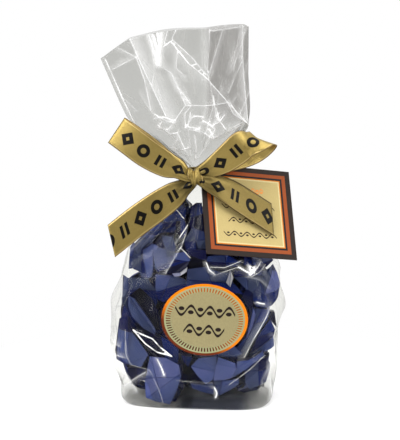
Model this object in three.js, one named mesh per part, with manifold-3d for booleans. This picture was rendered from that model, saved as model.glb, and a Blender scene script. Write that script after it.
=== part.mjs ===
// A clear gift bag of wrapped chocolate truffles. It stands on its flat block bottom, is drawn in to a
// neck over the sweets and opens out above it as a flat fan of film. A satin ribbon is tied round the
// neck in a bow, a square card hangs from the ribbon, and an oval paper label is stuck to the front.
// Millimetres, +Z up, the front of the bag faces -Y. The origin is under the middle of the base.

import * as THREE from 'three';
import { mergeVertices } from 'three/addons/utils/BufferGeometryUtils.js';
import Module from 'manifold-3d';

const wasm = await Module();
wasm.setup();

// Bag body: how far it reaches left, right, front and back of the origin at each height.
// square is the exponent of the outline there: 2 is an ellipse, 5 nearly a rectangle.
const bodyProfile = [
  { z: 0, left: 49, right: 50, front: 30, back: 33, square: 4 },
  { z: 4, left: 52, right: 52, front: 32, back: 34, square: 4 },
  { z: 11, left: 51.8, right: 51.6, front: 34.4, back: 34.5, square: 3.7 },
  { z: 23, left: 56.8, right: 53.4, front: 36.8, back: 35.5, square: 3.4 },
  { z: 34, left: 58.2, right: 55.8, front: 37.8, back: 36, square: 3.2 },
  { z: 46, left: 58.8, right: 55.2, front: 38.6, back: 36.4, square: 3 },
  { z: 65, left: 59, right: 57.2, front: 39, back: 36.4, square: 3 },
  { z: 80, left: 54, right: 56, front: 38.6, back: 35.6, square: 2.9 },
  { z: 96, left: 50.6, right: 52.4, front: 36.2, back: 33, square: 2.7 },
  { z: 106, left: 47, right: 44.5, front: 33, back: 29.6, square: 2.5 },
  { z: 117, left: 36.5, right: 35, front: 26.8, back: 24.4, square: 2.3 },
  { z: 128, left: 24, right: 24, front: 19, back: 17.6, square: 2.1 },
  { z: 138, left: 13.5, right: 14, front: 11.8, back: 11.4, square: 2 },
  { z: 146, left: 7.6, right: 7.8, front: 7.2, back: 7.2, square: 2 },
  { z: 152, left: 5.8, right: 5.8, front: 5.6, back: 5.6, square: 2 },
  { z: 162, left: 5.6, right: 5.6, front: 5.4, back: 5.4, square: 2 },
];
const baseTurn = 6 * Math.PI / 180;         // the base stands a little askew, right front corner forward
const baseTurnFadesAt = 60;
const baseEdgeRound = 2.2;                  // how far the flat of the base keeps inside its outer edge
const tiersStartBy = 8;                     // the lowest film is not pressed out

// The sweets press the film out in tiers.
const tiers = [
  { z: 18, count: 8, phase: 0.1 },
  { z: 45, count: 8, phase: 0.6 },
  { z: 71, count: 8, phase: 0.2 },
  { z: 96, count: 7, phase: 0.5 },
];
const tierBulge = 2.2;
const tierHalfHeight = 11;

// Gathers at the neck.
const pleatCount = 11;
const pleatDepth = 0.13;                    // share of the radius
const pleatsFrom = 112;
const pleatsFull = 146;

// Fan of film above the neck.
const neckTop = 162;
const fanLeft = [[0, 5.6], [0.18, 25], [0.43, 45.8], [0.52, 49.6], [0.76, 57.2], [1, 64.5]];
const fanRight = [[0, 5.6], [0.14, 20], [0.3, 33.4], [0.7, 34], [1, 34]];
const fanHalfDepth = [[0, 5.4], [0.15, 8.5], [0.4, 11.5], [0.75, 12.5], [1, 12]];
const fanFold = [[0, 0], [0.15, 1.6], [0.4, 2.6], [0.75, 3.4], [1, 3.6]];
const fanSquareLeft = 1.5;                  // the left end is pinched to an edge
const fanSquareRight = 4.2;                 // the right end stands open like a box
const fanOpensBy = 0.3;
const fanPleatsEndAt = 0.45;
const mouthHeight = [
  [-1, 234], [-0.72, 246.8], [-0.66, 248.3], [-0.3, 252.9], [0.2, 254.3], [0.9, 256.4], [1, 255],
];
const frontFolds = { waves: 1.9, phase: 0.6 };
const backFolds = { waves: 2.4, phase: 2.1 };

// Mesh steps of the bag.
const stepsRound = 88;
const bodyRows = 30;
const fanRows = 18;

// Label.
const labelWide = 57.4;
const labelHigh = 48.4;
const labelThick = 0.35;
const labelGap = 0.35;
const labelCentre = { x: 4.7, z: 64.4 };
const labelTilt = -4 * Math.PI / 180;
const labelFlatWithin = 0.95;               // under the label the film is not pressed out
const labelFlatUntil = 1.35;
const labelRings = 6;
const labelSteps = 48;

// Hang tag.
const tagSide = 64.7;
const tagThick = 0.8;
const tagCorner = new THREE.Vector3(1.8, -7.5, 164.3);  // top left corner of the front face
const tagRoll = 9.2 * Math.PI / 180;
const tagLean = -32 * Math.PI / 180;
const tagTurn = 23.7 * Math.PI / 180;
const tagHole = { across: 6.2, inX: 5.6, inZ: 6.4, sides: 20 };

// Ribbon.
const ribbonThick = 0.7;
const bandInside = 6.9;                     // clears the gathers of the neck
const bandThick = 1.4;
const bandHigh = 8;
const bandZ = 155.8;
const bandSides = 28;
const bandLip = 0.4;
const bandWaist = 0.3;
const knotCentre = new THREE.Vector3(-1.4, -17, 156.6);
const knotHalf = new THREE.Vector3(5, 4.2, 5.2);
const knotFolds = { count: 5, depth: 0.06, phase: 1.2 };
const knotTilt = -0.35;
const knotSteps = { round: 20, up: 14 };
const stem = { radius: 1.7, sides: 14, aside: 2.4, bite: 0.2 };
const tagTie = { front: -18, back: -3.5 };  // the ribbon's stem through the hole of the tag
const stripSteps = { leftLoop: 44, rightLoop: 48, tail: 22 };

// Stations of the ribbon's strips: centre, the way its width runs, and its width there.
const leftLoop = [
  { at: [-2.5, -15.6, 157], across: [0.2, 0.1, 0.97], wide: 7.5 },
  { at: [-7.4, -16.2, 158], across: [0.24, 0.05, 0.97], wide: 9 },
  { at: [-13.2, -17.6, 162.2], across: [0.2, 0, 0.98], wide: 13.6 },
  { at: [-20.6, -19.2, 165.4], across: [0.44, 0, 0.9], wide: 17.4 },
  { at: [-33.1, -20, 172.9], across: [0.54, 0, 0.84], wide: 19.6 },
  { at: [-44.4, -17.6, 181.1], across: [0.57, 0, 0.82], wide: 20 },
  { at: [-52.6, -14, 186.7], across: [0.57, 0, 0.82], wide: 20 },
  { at: [-53.9, -12.4, 187.5], across: [0.57, 0, 0.82], wide: 20 },
  { at: [-52.6, -10.8, 186.7], across: [0.57, 0, 0.82], wide: 20 },
  { at: [-44.4, -8.2, 181.1], across: [0.57, 0, 0.82], wide: 19.6 },
  { at: [-30.1, -7.8, 171.4], across: [0.52, 0, 0.85], wide: 18 },
  { at: [-17.6, -9.6, 163.4], across: [0.4, 0, 0.92], wide: 13 },
  { at: [-8.4, -12.4, 158.4], across: [0.2, 0, 0.98], wide: 9 },
  { at: [-3, -13.4, 157], across: [0.2, 0, 0.98], wide: 7 },
];
const rightLoop = [
  { at: [-0.4, -16.8, 158.2], across: [-0.7, 0.1, 0.72], wide: 7 },
  { at: [3.5, -17.4, 159.6], across: [-0.7, 0, 0.72], wide: 8.4 },
  { at: [9.9, -18.6, 163.4], across: [-0.51, 0, 0.86], wide: 13.8 },
  { at: [17.4, -20.5, 168.2], across: [-0.64, 0, 0.77], wide: 17.4 },
  { at: [24.8, -21.5, 174.1], across: [-0.68, 0, 0.74], wide: 19.4 },
  { at: [30.6, -20.5, 178.6], across: [-0.77, 0, 0.64], wide: 19.8 },
  { at: [36.1, -18, 179.8], across: [-0.87, 0, 0.49], wide: 16.8 },
  { at: [41.8, -13.8, 181], across: [-0.96, 0, 0.28], wide: 18.6 },
  { at: [43.8, -9.2, 180], across: [-0.93, 0, 0.37], wide: 20 },
  { at: [42.1, -5.4, 177], across: [-0.91, 0, 0.41], wide: 20 },
  { at: [37.8, -3.8, 173.7], across: [-0.87, 0, 0.49], wide: 19.6 },
  { at: [30.8, -5.4, 170], across: [-0.81, 0, 0.59], wide: 18 },
  { at: [22, -8.6, 166.5], across: [-0.72, 0, 0.69], wide: 14.6 },
  { at: [12.4, -12.4, 162.4], across: [-0.7, 0, 0.71], wide: 10.4 },
  { at: [4, -15, 159.2], across: [-0.7, 0, 0.71], wide: 7.4 },
  { at: [-0.4, -15.8, 158], across: [-0.7, 0, 0.71], wide: 6.6 },
];
const leftTail = [
  { at: [-1.4, -14.8, 155], across: [-0.95, 0, 0.3], wide: 6.4 },
  { at: [-4.6, -15.2, 151.8], across: [-0.9, 0, 0.42], wide: 8 },
  { at: [-9.5, -16.6, 149], across: [-0.78, 0.02, 0.63], wide: 12.4 },
  { at: [-15.6, -19.5, 145], across: [-0.68, 0.06, 0.73], wide: 17 },
  { at: [-27.3, -23.2, 137.4], across: [-0.6, 0.13, 0.79], wide: 19.6 },
  { at: [-39.3, -25, 129.1], across: [-0.57, 0.2, 0.79], wide: 20 },
  { at: [-57.2, -25.6, 115], across: [-0.56, 0.22, 0.8], wide: 20 },
];
const rightTail = [
  { at: [-0.6, -16.2, 156], across: [0.1, 0.05, 0.99], wide: 6.6 },
  { at: [3.2, -18.6, 154.3], across: [0.2, 0.1, 0.97], wide: 8 },
  { at: [8, -19.6, 152.6], across: [0.32, 0.26, 0.92], wide: 11.6 },
  { at: [14.6, -19.5, 150.1], across: [0.4, 0.48, 0.78], wide: 16 },
  { at: [22.5, -18.4, 145.9], across: [0.42, 0.58, 0.7], wide: 19 },
  { at: [32.8, -17, 139.2], across: [0.43, 0.6, 0.67], wide: 20 },
  { at: [50.4, -15, 127.5], across: [0.43, 0.6, 0.67], wide: 20 },
];
const leftTailSlant = 4.6;                  // the lower edge is longer than the upper by twice this
const rightTailSlant = 5.6;

// A smooth curve through [position, value] pairs, with the slope at each taken from its neighbours.
function along(pairs, t) {
  const last = pairs.length - 1;
  if (t <= pairs[0][0]) return pairs[0][1];
  if (t >= pairs[last][0]) return pairs[last][1];
  let i = 0;
  while (t > pairs[i + 1][0]) i += 1;
  const before = pairs[Math.max(i - 1, 0)];
  const after = pairs[Math.min(i + 2, last)];
  const [x0, y0] = pairs[i];
  const [x1, y1] = pairs[i + 1];
  const span = x1 - x0;
  const slopeIn = (y1 - before[1]) / (x1 - before[0]) * span;
  const slopeOut = (after[1] - y0) / (after[0] - x0) * span;
  const u = (t - x0) / span;
  const u2 = u * u;
  const u3 = u2 * u;
  return (2 * u3 - 3 * u2 + 1) * y0 + (u3 - 2 * u2 + u) * slopeIn
    + (3 * u2 - 2 * u3) * y1 + (u3 - u2) * slopeOut;
}

function smoothStep(from, to, value) {
  const u = Math.min(Math.max((value - from) / (to - from), 0), 1);
  return u * u * (3 - 2 * u);
}

// A closed outline at turn u (0 left, 0.25 front, 0.5 right, 0.75 back).
function outlinePoint(u, reach, squareLeft, squareRight) {
  const c = -Math.cos(2 * Math.PI * u);
  const s = -Math.sin(2 * Math.PI * u);
  const square = squareLeft + (squareRight - squareLeft) * (c + 1) / 2;
  const x = Math.sign(c) * Math.abs(c) ** (2 / square);
  const y = Math.sign(s) * Math.abs(s) ** (2 / square);
  return { x: x * (c < 0 ? reach.left : reach.right), y: y * (s < 0 ? reach.front : reach.back) };
}

function bodyReach(z) {
  const value = (name) => along(bodyProfile.map((row) => [row.z, row[name]]), z);
  return {
    left: value('left'), right: value('right'), front: value('front'), back: value('back'),
    square: value('square'),
  };
}

// How far out on the label a place is, 1 being its rim.
function inLabel(x, z) {
  const u = (x - labelCentre.x) / (labelWide / 2);
  const v = (z - labelCentre.z) / (labelHigh / 2);
  return Math.hypot(u, v);
}

// A point of the bag below the neck's top.
function bodyPoint(u, z) {
  const reach = bodyReach(z);
  const flat = outlinePoint(u, reach, reach.square, reach.square);
  let { x, y } = flat;
  const far = Math.hypot(x, y);
  let push = 0;
  for (const tier of tiers) {
    const near = Math.exp(-(((z - tier.z) / tierHalfHeight) ** 2));
    push += near * tierBulge * Math.cos(2 * Math.PI * (tier.count * u + tier.phase));
  }
  if (y < 0) push *= smoothStep(labelFlatWithin, labelFlatUntil, inLabel(x, z));
  push *= smoothStep(0, tiersStartBy, z);
  const pleats = smoothStep(pleatsFrom, pleatsFull, z) * pleatDepth * far;
  push += pleats * Math.cos(2 * Math.PI * pleatCount * u);
  x += x / far * push;
  y += y / far * push;
  const turn = baseTurn * (1 - smoothStep(0, baseTurnFadesAt, z));
  return new THREE.Vector3(
    x * Math.cos(turn) + y * Math.sin(turn),
    y * Math.cos(turn) - x * Math.sin(turn),
    z,
  );
}

// A point of the fan: t runs from the neck to the mouth.
function fanPoint(u, t) {
  const reach = { left: along(fanLeft, t), right: along(fanRight, t) };
  reach.front = along(fanHalfDepth, t);
  reach.back = reach.front;
  const opens = smoothStep(0, fanOpensBy, t);
  const squareLeft = 2 + (fanSquareLeft - 2) * opens;
  const squareRight = 2 + (fanSquareRight - 2) * opens;
  const { x, y } = outlinePoint(u, reach, squareLeft, squareRight);
  const across = x / (x < 0 ? reach.left : reach.right);
  const folds = y < 0 ? frontFolds : backFolds;
  const wave = Math.cos(Math.PI * folds.waves * across + folds.phase) * along(fanFold, t);
  const inside = Math.min(Math.abs(y) / reach.front, 1);
  const pleats = (1 - smoothStep(0, fanPleatsEndAt, t)) * pleatDepth * Math.cos(2 * Math.PI * pleatCount * u);
  const top = along(mouthHeight, across);
  return new THREE.Vector3(
    x * (1 + pleats),
    y * (1 + pleats) + wave * inside,
    neckTop + t * (top - neckTop),
  );
}

// A closed body through rings of equal length, the first and last closed flat.
function loft(rings) {
  const count = rings[0].length;
  const positions = [];
  const triangle = (a, b, c) => positions.push(...a, ...b, ...c);
  for (let row = 0; row + 1 < rings.length; row += 1) {
    for (let i = 0; i < count; i += 1) {
      const j = (i + 1) % count;
      const [a, b] = [rings[row][i], rings[row][j]];
      const [c, d] = [rings[row + 1][j], rings[row + 1][i]];
      triangle(a, b, c);
      triangle(a, c, d);
    }
  }
  const close = (ring, flip) => {
    for (let i = 0; i < count / 2; i += 1) {
      const [a, b] = [ring[i], ring[i + 1]];
      const [c, d] = [ring[(2 * count - i - 1) % count], ring[(count - i) % count]];
      const corners = flip ? [[a, c, b], [a, d, c]] : [[a, b, c], [a, c, d]];
      for (const [p, q, r] of corners) {
        if (p !== q && q !== r && r !== p) triangle(p, q, r);
      }
    }
  };
  close(rings[0], true);
  close(rings[rings.length - 1], false);
  const geometry = new THREE.BufferGeometry();
  geometry.setAttribute('position', new THREE.Float32BufferAttribute(positions, 3));
  return mergeVertices(geometry, 1e-4);
}

function toSolid(geometry) {
  const merged = geometry.clone();
  merged.deleteAttribute('normal');
  merged.deleteAttribute('uv');
  const closed = mergeVertices(merged, 1e-4);
  const vertProperties = new Float32Array(closed.attributes.position.array);
  const triVerts = new Uint32Array(closed.index.array);
  return new wasm.Manifold(new wasm.Mesh({ numProp: 3, vertProperties, triVerts }));
}

function fromSolid(solid) {
  const { vertProperties, triVerts } = solid.getMesh();
  const geometry = new THREE.BufferGeometry();
  geometry.setAttribute('position', new THREE.BufferAttribute(vertProperties, 3));
  geometry.setIndex(new THREE.BufferAttribute(triVerts, 1));
  geometry.computeVertexNormals();
  return geometry;
}

function finish(name, geometry, colour, roughness, metalness) {
  const material = new THREE.MeshStandardMaterial({ color: colour, roughness, metalness });
  const mesh = new THREE.Mesh(geometry, material);
  mesh.name = name;
  geometry.computeVertexNormals();
  return mesh;
}

function makeBag() {
  const rings = [];
  const ring = (pointAt) => Array.from({ length: stepsRound }, (_, i) => pointAt(i / stepsRound));
  const edge = ring((u) => bodyPoint(u, baseEdgeRound));
  rings.push(edge.map((p) => {
    const far = Math.hypot(p.x, p.y);
    const keep = (far - baseEdgeRound) / far;
    return new THREE.Vector3(p.x * keep, p.y * keep, 0);
  }));
  for (let row = 0; row < bodyRows; row += 1) {
    const z = baseEdgeRound + (neckTop - baseEdgeRound) * row / bodyRows;
    rings.push(ring((u) => bodyPoint(u, z)));
  }
  for (let row = 0; row <= fanRows; row += 1) {
    rings.push(ring((u) => fanPoint(u, row / fanRows)));
  }
  return finish('bag', loft(rings), 0x3a4470, 0.25, 0);
}

// The bag's front at x and z, by halving the turn between left and right.
function frontOfBag(x, z) {
  const halvings = 30;
  let [low, high] = [0, 0.5];
  for (let i = 0; i < halvings; i += 1) {
    const middle = (low + high) / 2;
    if (bodyPoint(middle, z).x < x) low = middle;
    else high = middle;
  }
  return bodyPoint((low + high) / 2, z);
}

function makeLabel() {
  const pointAt = (ring, step, lift) => {
    const angle = 2 * Math.PI * step / labelSteps;
    const u = labelWide / 2 * ring / labelRings * Math.cos(angle);
    const v = labelHigh / 2 * ring / labelRings * Math.sin(angle);
    const x = labelCentre.x + u * Math.cos(labelTilt) - v * Math.sin(labelTilt);
    const z = labelCentre.z + u * Math.sin(labelTilt) + v * Math.cos(labelTilt);
    const p = frontOfBag(x, z);
    const side = frontOfBag(x + 1, z).sub(frontOfBag(x - 1, z));
    const rise = frontOfBag(x, z + 1).sub(frontOfBag(x, z - 1));
    const out = side.cross(rise).normalize();
    return p.addScaledVector(out, lift);
  };
  const positions = [];
  const triangle = (a, b, c) => positions.push(...a, ...b, ...c);
  const face = (lift, flip) => {
    for (let ring = 0; ring < labelRings; ring += 1) {
      for (let step = 0; step < labelSteps; step += 1) {
        const next = (step + 1) % labelSteps;
        const a = pointAt(ring, step, lift);
        const b = pointAt(ring + 1, step, lift);
        const c = pointAt(ring + 1, next, lift);
        const d = pointAt(ring, next, lift);
        if (flip) triangle(a, c, b);
        else triangle(a, b, c);
        if (ring > 0 && flip) triangle(a, d, c);
        if (ring > 0 && !flip) triangle(a, c, d);
      }
    }
  };
  const back = labelGap;
  const front = labelGap + labelThick;
  face(back, true);
  face(front, false);
  for (let step = 0; step < labelSteps; step += 1) {
    const next = (step + 1) % labelSteps;
    const [a, b] = [pointAt(labelRings, step, back), pointAt(labelRings, next, back)];
    const [c, d] = [pointAt(labelRings, next, front), pointAt(labelRings, step, front)];
    triangle(a, b, c);
    triangle(a, c, d);
  }
  const geometry = new THREE.BufferGeometry();
  geometry.setAttribute('position', new THREE.Float32BufferAttribute(positions, 3));
  return finish('label', mergeVertices(geometry, 1e-4), 0xc8b878, 0.5, 0);
}

function makeTag() {
  const card = new THREE.BoxGeometry(tagSide, tagThick, tagSide);
  card.translate(tagSide / 2, tagThick / 2, -tagSide / 2);
  const radius = tagHole.across / 2;
  const punch = new THREE.CylinderGeometry(radius, radius, 4 * tagThick, tagHole.sides);
  punch.translate(tagHole.inX, 0, -tagHole.inZ);
  const tag = finish('tag', fromSolid(toSolid(card).subtract(toSolid(punch))), 0x5a4034, 0.6, 0);
  tag.position.copy(tagCorner);
  tag.rotation.set(tagLean, tagRoll, tagTurn, 'ZXY');
  return tag;
}

// A strip of ribbon through its stations. slant moves the two edges of its last end apart.
function strip(stations, steps, slant) {
  const vector = (values) => new THREE.Vector3(...values);
  const centres = new THREE.CatmullRomCurve3(stations.map((s) => vector(s.at)), false, 'centripetal');
  const last = stations.length - 1;
  const between = (t, read) => {
    const i = Math.min(Math.floor(t * last), last - 1);
    return read(stations[i], stations[i + 1], t * last - i);
  };
  const rings = [];
  for (let step = 0; step <= steps; step += 1) {
    const t = step / steps;
    const centre = centres.getPoint(t);
    const tangent = centres.getTangent(t);
    const across = between(t, (a, b, k) => vector(a.across).lerp(vector(b.across), k));
    across.addScaledVector(tangent, -across.dot(tangent)).normalize();
    const wide = between(t, (a, b, k) => a.wide + (b.wide - a.wide) * k);
    const out = tangent.clone().cross(across).normalize();
    const corner = (side, lift) => centre.clone()
      .addScaledVector(across, side * wide / 2)
      .addScaledVector(out, lift * ribbonThick / 2)
      .addScaledVector(tangent, -side * slant * t);
    rings.push([corner(-1, -1), corner(1, -1), corner(1, 1), corner(-1, 1)]);
  }
  return toSolid(loft(rings));
}

function makeBand() {
  const half = bandHigh / 2;
  const outside = bandInside + bandThick;
  const section = [
    [bandInside, -half], [outside - bandLip, -half], [outside, -half / 2], [outside - bandWaist, 0],
    [outside, half / 2], [outside - bandLip, half], [bandInside, half], [bandInside, -half],
  ];
  const band = new THREE.LatheGeometry(section.map(([x, y]) => new THREE.Vector2(x, y)), bandSides);
  band.rotateX(Math.PI / 2);
  band.translate(0, 0, bandZ);
  return toSolid(band);
}

function makeKnot() {
  const knot = new THREE.SphereGeometry(1, knotSteps.round, knotSteps.up);
  const position = knot.attributes.position;
  for (let i = 0; i < position.count; i += 1) {
    const p = new THREE.Vector3().fromBufferAttribute(position, i);
    const fold = 1 + knotFolds.depth * Math.cos(knotFolds.count * Math.atan2(p.z, p.x) + knotFolds.phase);
    p.multiply(knotHalf);
    position.setXYZ(i, p.x * fold, p.y, p.z * fold);
  }
  knot.rotateY(knotTilt);
  knot.translate(knotCentre.x, knotCentre.y, knotCentre.z);
  return toSolid(knot);
}

// A round stem that runs from front to back.
function makeStem(x, z, front, back) {
  const rod = new THREE.CylinderGeometry(stem.radius, stem.radius, back - front, stem.sides);
  rod.translate(x, (front + back) / 2, z);
  return toSolid(rod);
}

function makeRibbon() {
  const hole = new THREE.Vector3(tagHole.inX, 0, -tagHole.inZ);
  hole.applyEuler(new THREE.Euler(tagLean, tagRoll, tagTurn, 'ZXY')).add(tagCorner);
  const pieces = [
    makeBand(),
    makeStem(knotCentre.x - stem.aside, knotCentre.z, knotCentre.y, -bandInside - stem.bite),
    makeStem(hole.x, hole.z, tagTie.front, tagTie.back),
    strip(leftLoop, stripSteps.leftLoop, 0),
    strip(rightLoop, stripSteps.rightLoop, 0),
    strip(leftTail, stripSteps.tail, leftTailSlant),
    strip(rightTail, stripSteps.tail, rightTailSlant),
  ];
  const whole = pieces.reduce((sum, piece) => sum.add(piece), makeKnot());
  return finish('ribbon', fromSolid(whole), 0xa08a4e, 0.45, 0);
}

const truffleBag = new THREE.Group();
truffleBag.add(makeBag());
truffleBag.add(makeLabel());
truffleBag.add(makeTag());
truffleBag.add(makeRibbon());

export default truffleBag;
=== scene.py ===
# Clear gift bag of wrapped chocolate truffles, tied with a satin bow, with a hang tag and a label.
import math
import random

import bmesh
import bpy
import numpy as np
from mathutils import Euler, Matrix, Vector
from mathutils.kdtree import KDTree


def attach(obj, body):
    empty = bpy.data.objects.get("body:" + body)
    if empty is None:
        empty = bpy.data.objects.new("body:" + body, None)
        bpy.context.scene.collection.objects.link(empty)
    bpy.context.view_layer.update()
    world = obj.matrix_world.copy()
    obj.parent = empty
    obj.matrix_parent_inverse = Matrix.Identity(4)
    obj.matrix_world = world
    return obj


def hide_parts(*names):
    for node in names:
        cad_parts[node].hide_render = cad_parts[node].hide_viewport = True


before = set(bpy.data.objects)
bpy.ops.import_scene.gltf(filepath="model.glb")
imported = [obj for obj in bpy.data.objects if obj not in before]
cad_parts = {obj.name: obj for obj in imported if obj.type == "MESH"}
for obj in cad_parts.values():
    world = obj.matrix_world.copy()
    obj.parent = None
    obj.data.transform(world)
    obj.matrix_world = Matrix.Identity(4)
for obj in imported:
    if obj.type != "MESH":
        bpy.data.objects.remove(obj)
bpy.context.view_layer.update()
scene = bpy.context.scene
mm = 0.001

cameraPlan = {
    "lens": 120.3,
    "sensor": 36,
    "distance": 1.0,
    "target": (0.0017, 0, 0.1245),
    "elevation": 10.5,
}


def addCamera():
    plan = cameraPlan
    data = bpy.data.cameras.new("camera")
    data.lens = plan["lens"]
    data.sensor_width = plan["sensor"]
    camera = bpy.data.objects.new("camera", data)
    scene.collection.objects.link(camera)
    tilt = math.radians(plan["elevation"])
    back = Vector((0, -math.cos(tilt), math.sin(tilt)))
    camera.location = Vector(plan["target"]) + back * plan["distance"]
    camera.rotation_euler = (math.radians(90) - tilt, 0, 0)
    scene.camera = camera


addCamera()
print("camera")


def along(pairs, t):
    # eased steps between (place, value) pairs
    last = len(pairs) - 1
    if t <= pairs[0][0]:
        return pairs[0][1]
    if t >= pairs[last][0]:
        return pairs[last][1]
    i = 0
    while t > pairs[i + 1][0]:
        i += 1
    before = pairs[max(i - 1, 0)]
    after = pairs[min(i + 2, last)]
    x0, y0 = pairs[i]
    x1, y1 = pairs[i + 1]
    span = x1 - x0
    slopeIn = (y1 - before[1]) / (x1 - before[0]) * span
    slopeOut = (after[1] - y0) / (after[0] - x0) * span
    u = (t - x0) / span
    u2 = u * u
    u3 = u2 * u
    start = (2 * u3 - 3 * u2 + 1) * y0 + (u3 - 2 * u2 + u) * slopeIn
    return start + (3 * u2 - 2 * u3) * y1 + (u3 - u2) * slopeOut


def smoothStep(low, high, value):
    u = min(max((value - low) / (high - low), 0), 1)
    return u * u * (3 - 2 * u)


def newPiece(name, bm, materials, smooth=True):
    mesh = bpy.data.meshes.new(name)
    bm.normal_update()
    bm.to_mesh(mesh)
    bm.free()
    mesh.validate()
    for p in mesh.polygons:
        p.use_smooth = smooth
    for m in materials:
        mesh.materials.append(m)
    piece = bpy.data.objects.new(name, mesh)
    scene.collection.objects.link(piece)
    return piece


def newMaterial(name):
    material = bpy.data.materials.new(name)
    material.use_nodes = True
    material.node_tree.nodes.clear()
    return material, material.node_tree


def plug(tree, socket, value):
    # a number or a colour is set on the socket, and anything else is linked to it
    if isinstance(value, (int, float)):
        socket.default_value = value
    elif isinstance(value, tuple):
        socket.default_value = (*value, 1)
    else:
        tree.links.new(value, socket)


def calc(tree, operation, *values):
    node = tree.nodes.new("ShaderNodeMath")
    node.operation = operation
    for socket, value in zip(node.inputs, values):
        plug(tree, socket, value)
    return node.outputs[0]


def blendColour(tree, factor, first, second):
    node = tree.nodes.new("ShaderNodeMix")
    node.data_type = "RGBA"
    plug(tree, node.inputs[0], factor)
    plug(tree, node.inputs[6], first)  # inputs 6 and 7 are the two colours
    plug(tree, node.inputs[7], second)
    return node.outputs[2]


def scaleColour(tree, colour, factor):
    node = tree.nodes.new("ShaderNodeVectorMath")
    node.operation = "SCALE"
    tree.links.new(colour, node.inputs[0])
    tree.links.new(factor, node.inputs["Scale"])
    return node.outputs[0]


def mapped(tree, value, start, end, low=0, high=1, soft=False):
    # how far the value is from start to end, given as low to high
    node = tree.nodes.new("ShaderNodeMapRange")
    if soft:
        node.interpolation_type = "SMOOTHSTEP"
    plug(tree, node.inputs["Value"], value)
    plug(tree, node.inputs["From Min"], start)
    plug(tree, node.inputs["From Max"], end)
    plug(tree, node.inputs["To Min"], low)
    plug(tree, node.inputs["To Max"], high)
    return node.outputs[0]


def colourSteps(tree, value, steps):
    node = tree.nodes.new("ShaderNodeValToRGB")
    for i, (at, colour) in enumerate(steps):
        stop = node.color_ramp.elements[i] if i < 2 else node.color_ramp.elements.new(at)
        stop.position = at
        stop.color = (*colour, 1)
    tree.links.new(value, node.inputs[0])
    return node.outputs[0]


def noiseOn(tree, place, scale, detail=2, distortion=0):
    node = tree.nodes.new("ShaderNodeTexNoise")
    plug(tree, node.inputs["Scale"], scale)
    node.inputs["Detail"].default_value = detail
    node.inputs["Distortion"].default_value = distortion
    tree.links.new(place, node.inputs["Vector"])
    return node.outputs["Fac"]


def bumped(tree, height, strength, distance):
    node = tree.nodes.new("ShaderNodeBump")
    node.inputs["Strength"].default_value = strength
    node.inputs["Distance"].default_value = distance
    tree.links.new(height, node.inputs["Height"])
    return node.outputs[0]


def placeOn(tree, kind="Object"):
    return tree.nodes.new("ShaderNodeTexCoord").outputs[kind]


def splitParts(tree, vector):
    node = tree.nodes.new("ShaderNodeSeparateXYZ")
    tree.links.new(vector, node.inputs[0])
    return node.outputs["X"], node.outputs["Y"], node.outputs["Z"]


def stored(tree, name):
    # a value that is kept on the piece's own points or faces
    node = tree.nodes.new("ShaderNodeAttribute")
    node.attribute_name = name
    return node.outputs["Fac"]


def coated(tree, colour, normal, fixed):
    node = tree.nodes.new("ShaderNodeBsdfPrincipled")
    for name, value in fixed.items():
        node.inputs[name].default_value = value
    tree.links.new(colour, node.inputs["Base Color"])
    tree.links.new(normal, node.inputs["Normal"])
    return node.outputs[0]


def mixShaders(tree, factor, first, second):
    node = tree.nodes.new("ShaderNodeMixShader")
    for socket, value in zip(node.inputs, (factor, first, second)):
        tree.links.new(value, socket)
    return node.outputs[0]


def finishSurface(tree, shader):
    out = tree.nodes.new("ShaderNodeOutputMaterial")
    tree.links.new(shader, out.inputs["Surface"])


# sizes of the label and the bag are in mm
label = {
    "wide": 57.4,
    "high": 48.4,
    "x": 4.7,
    "z": 64.4,
    "tilt": -4,
    "film": (0.95, 1.35),  # the film lies flat up to the first of these shares of the oval
    "clear": 1.12,  # front folds with a point nearer than this share are left out
    "ticks": 78,
    # from the rim inwards: where the rim, the pale line, the ticks and the plain edge end
    "rings": (1.7, 2.8, 5.6, 6.2),
    "rim": ((0.12, 0.018, 0.002), (0.74, 0.19, 0.002)),
    "tick": ((0.07, 0.014, 0.005), (0.32, 0.085, 0.01)),
    # how lit the rim is goes by the height and this share of x, from dark to bright
    "lit": (0.55, -17, -3),
    "pale": (0.29, 0.30, 0.155),
    "edge": (0.26, 0.245, 0.125),
    "field": (0.275, 0.235, 0.115),
    "ink": (0.012, 0.006, 0.005),
    "vines": [(6, 20, 12.6, 3.2), (-7, 13.5, 12.6, 3.2)],
    "rough": 0.45,
    "grain": 900,
}
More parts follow.
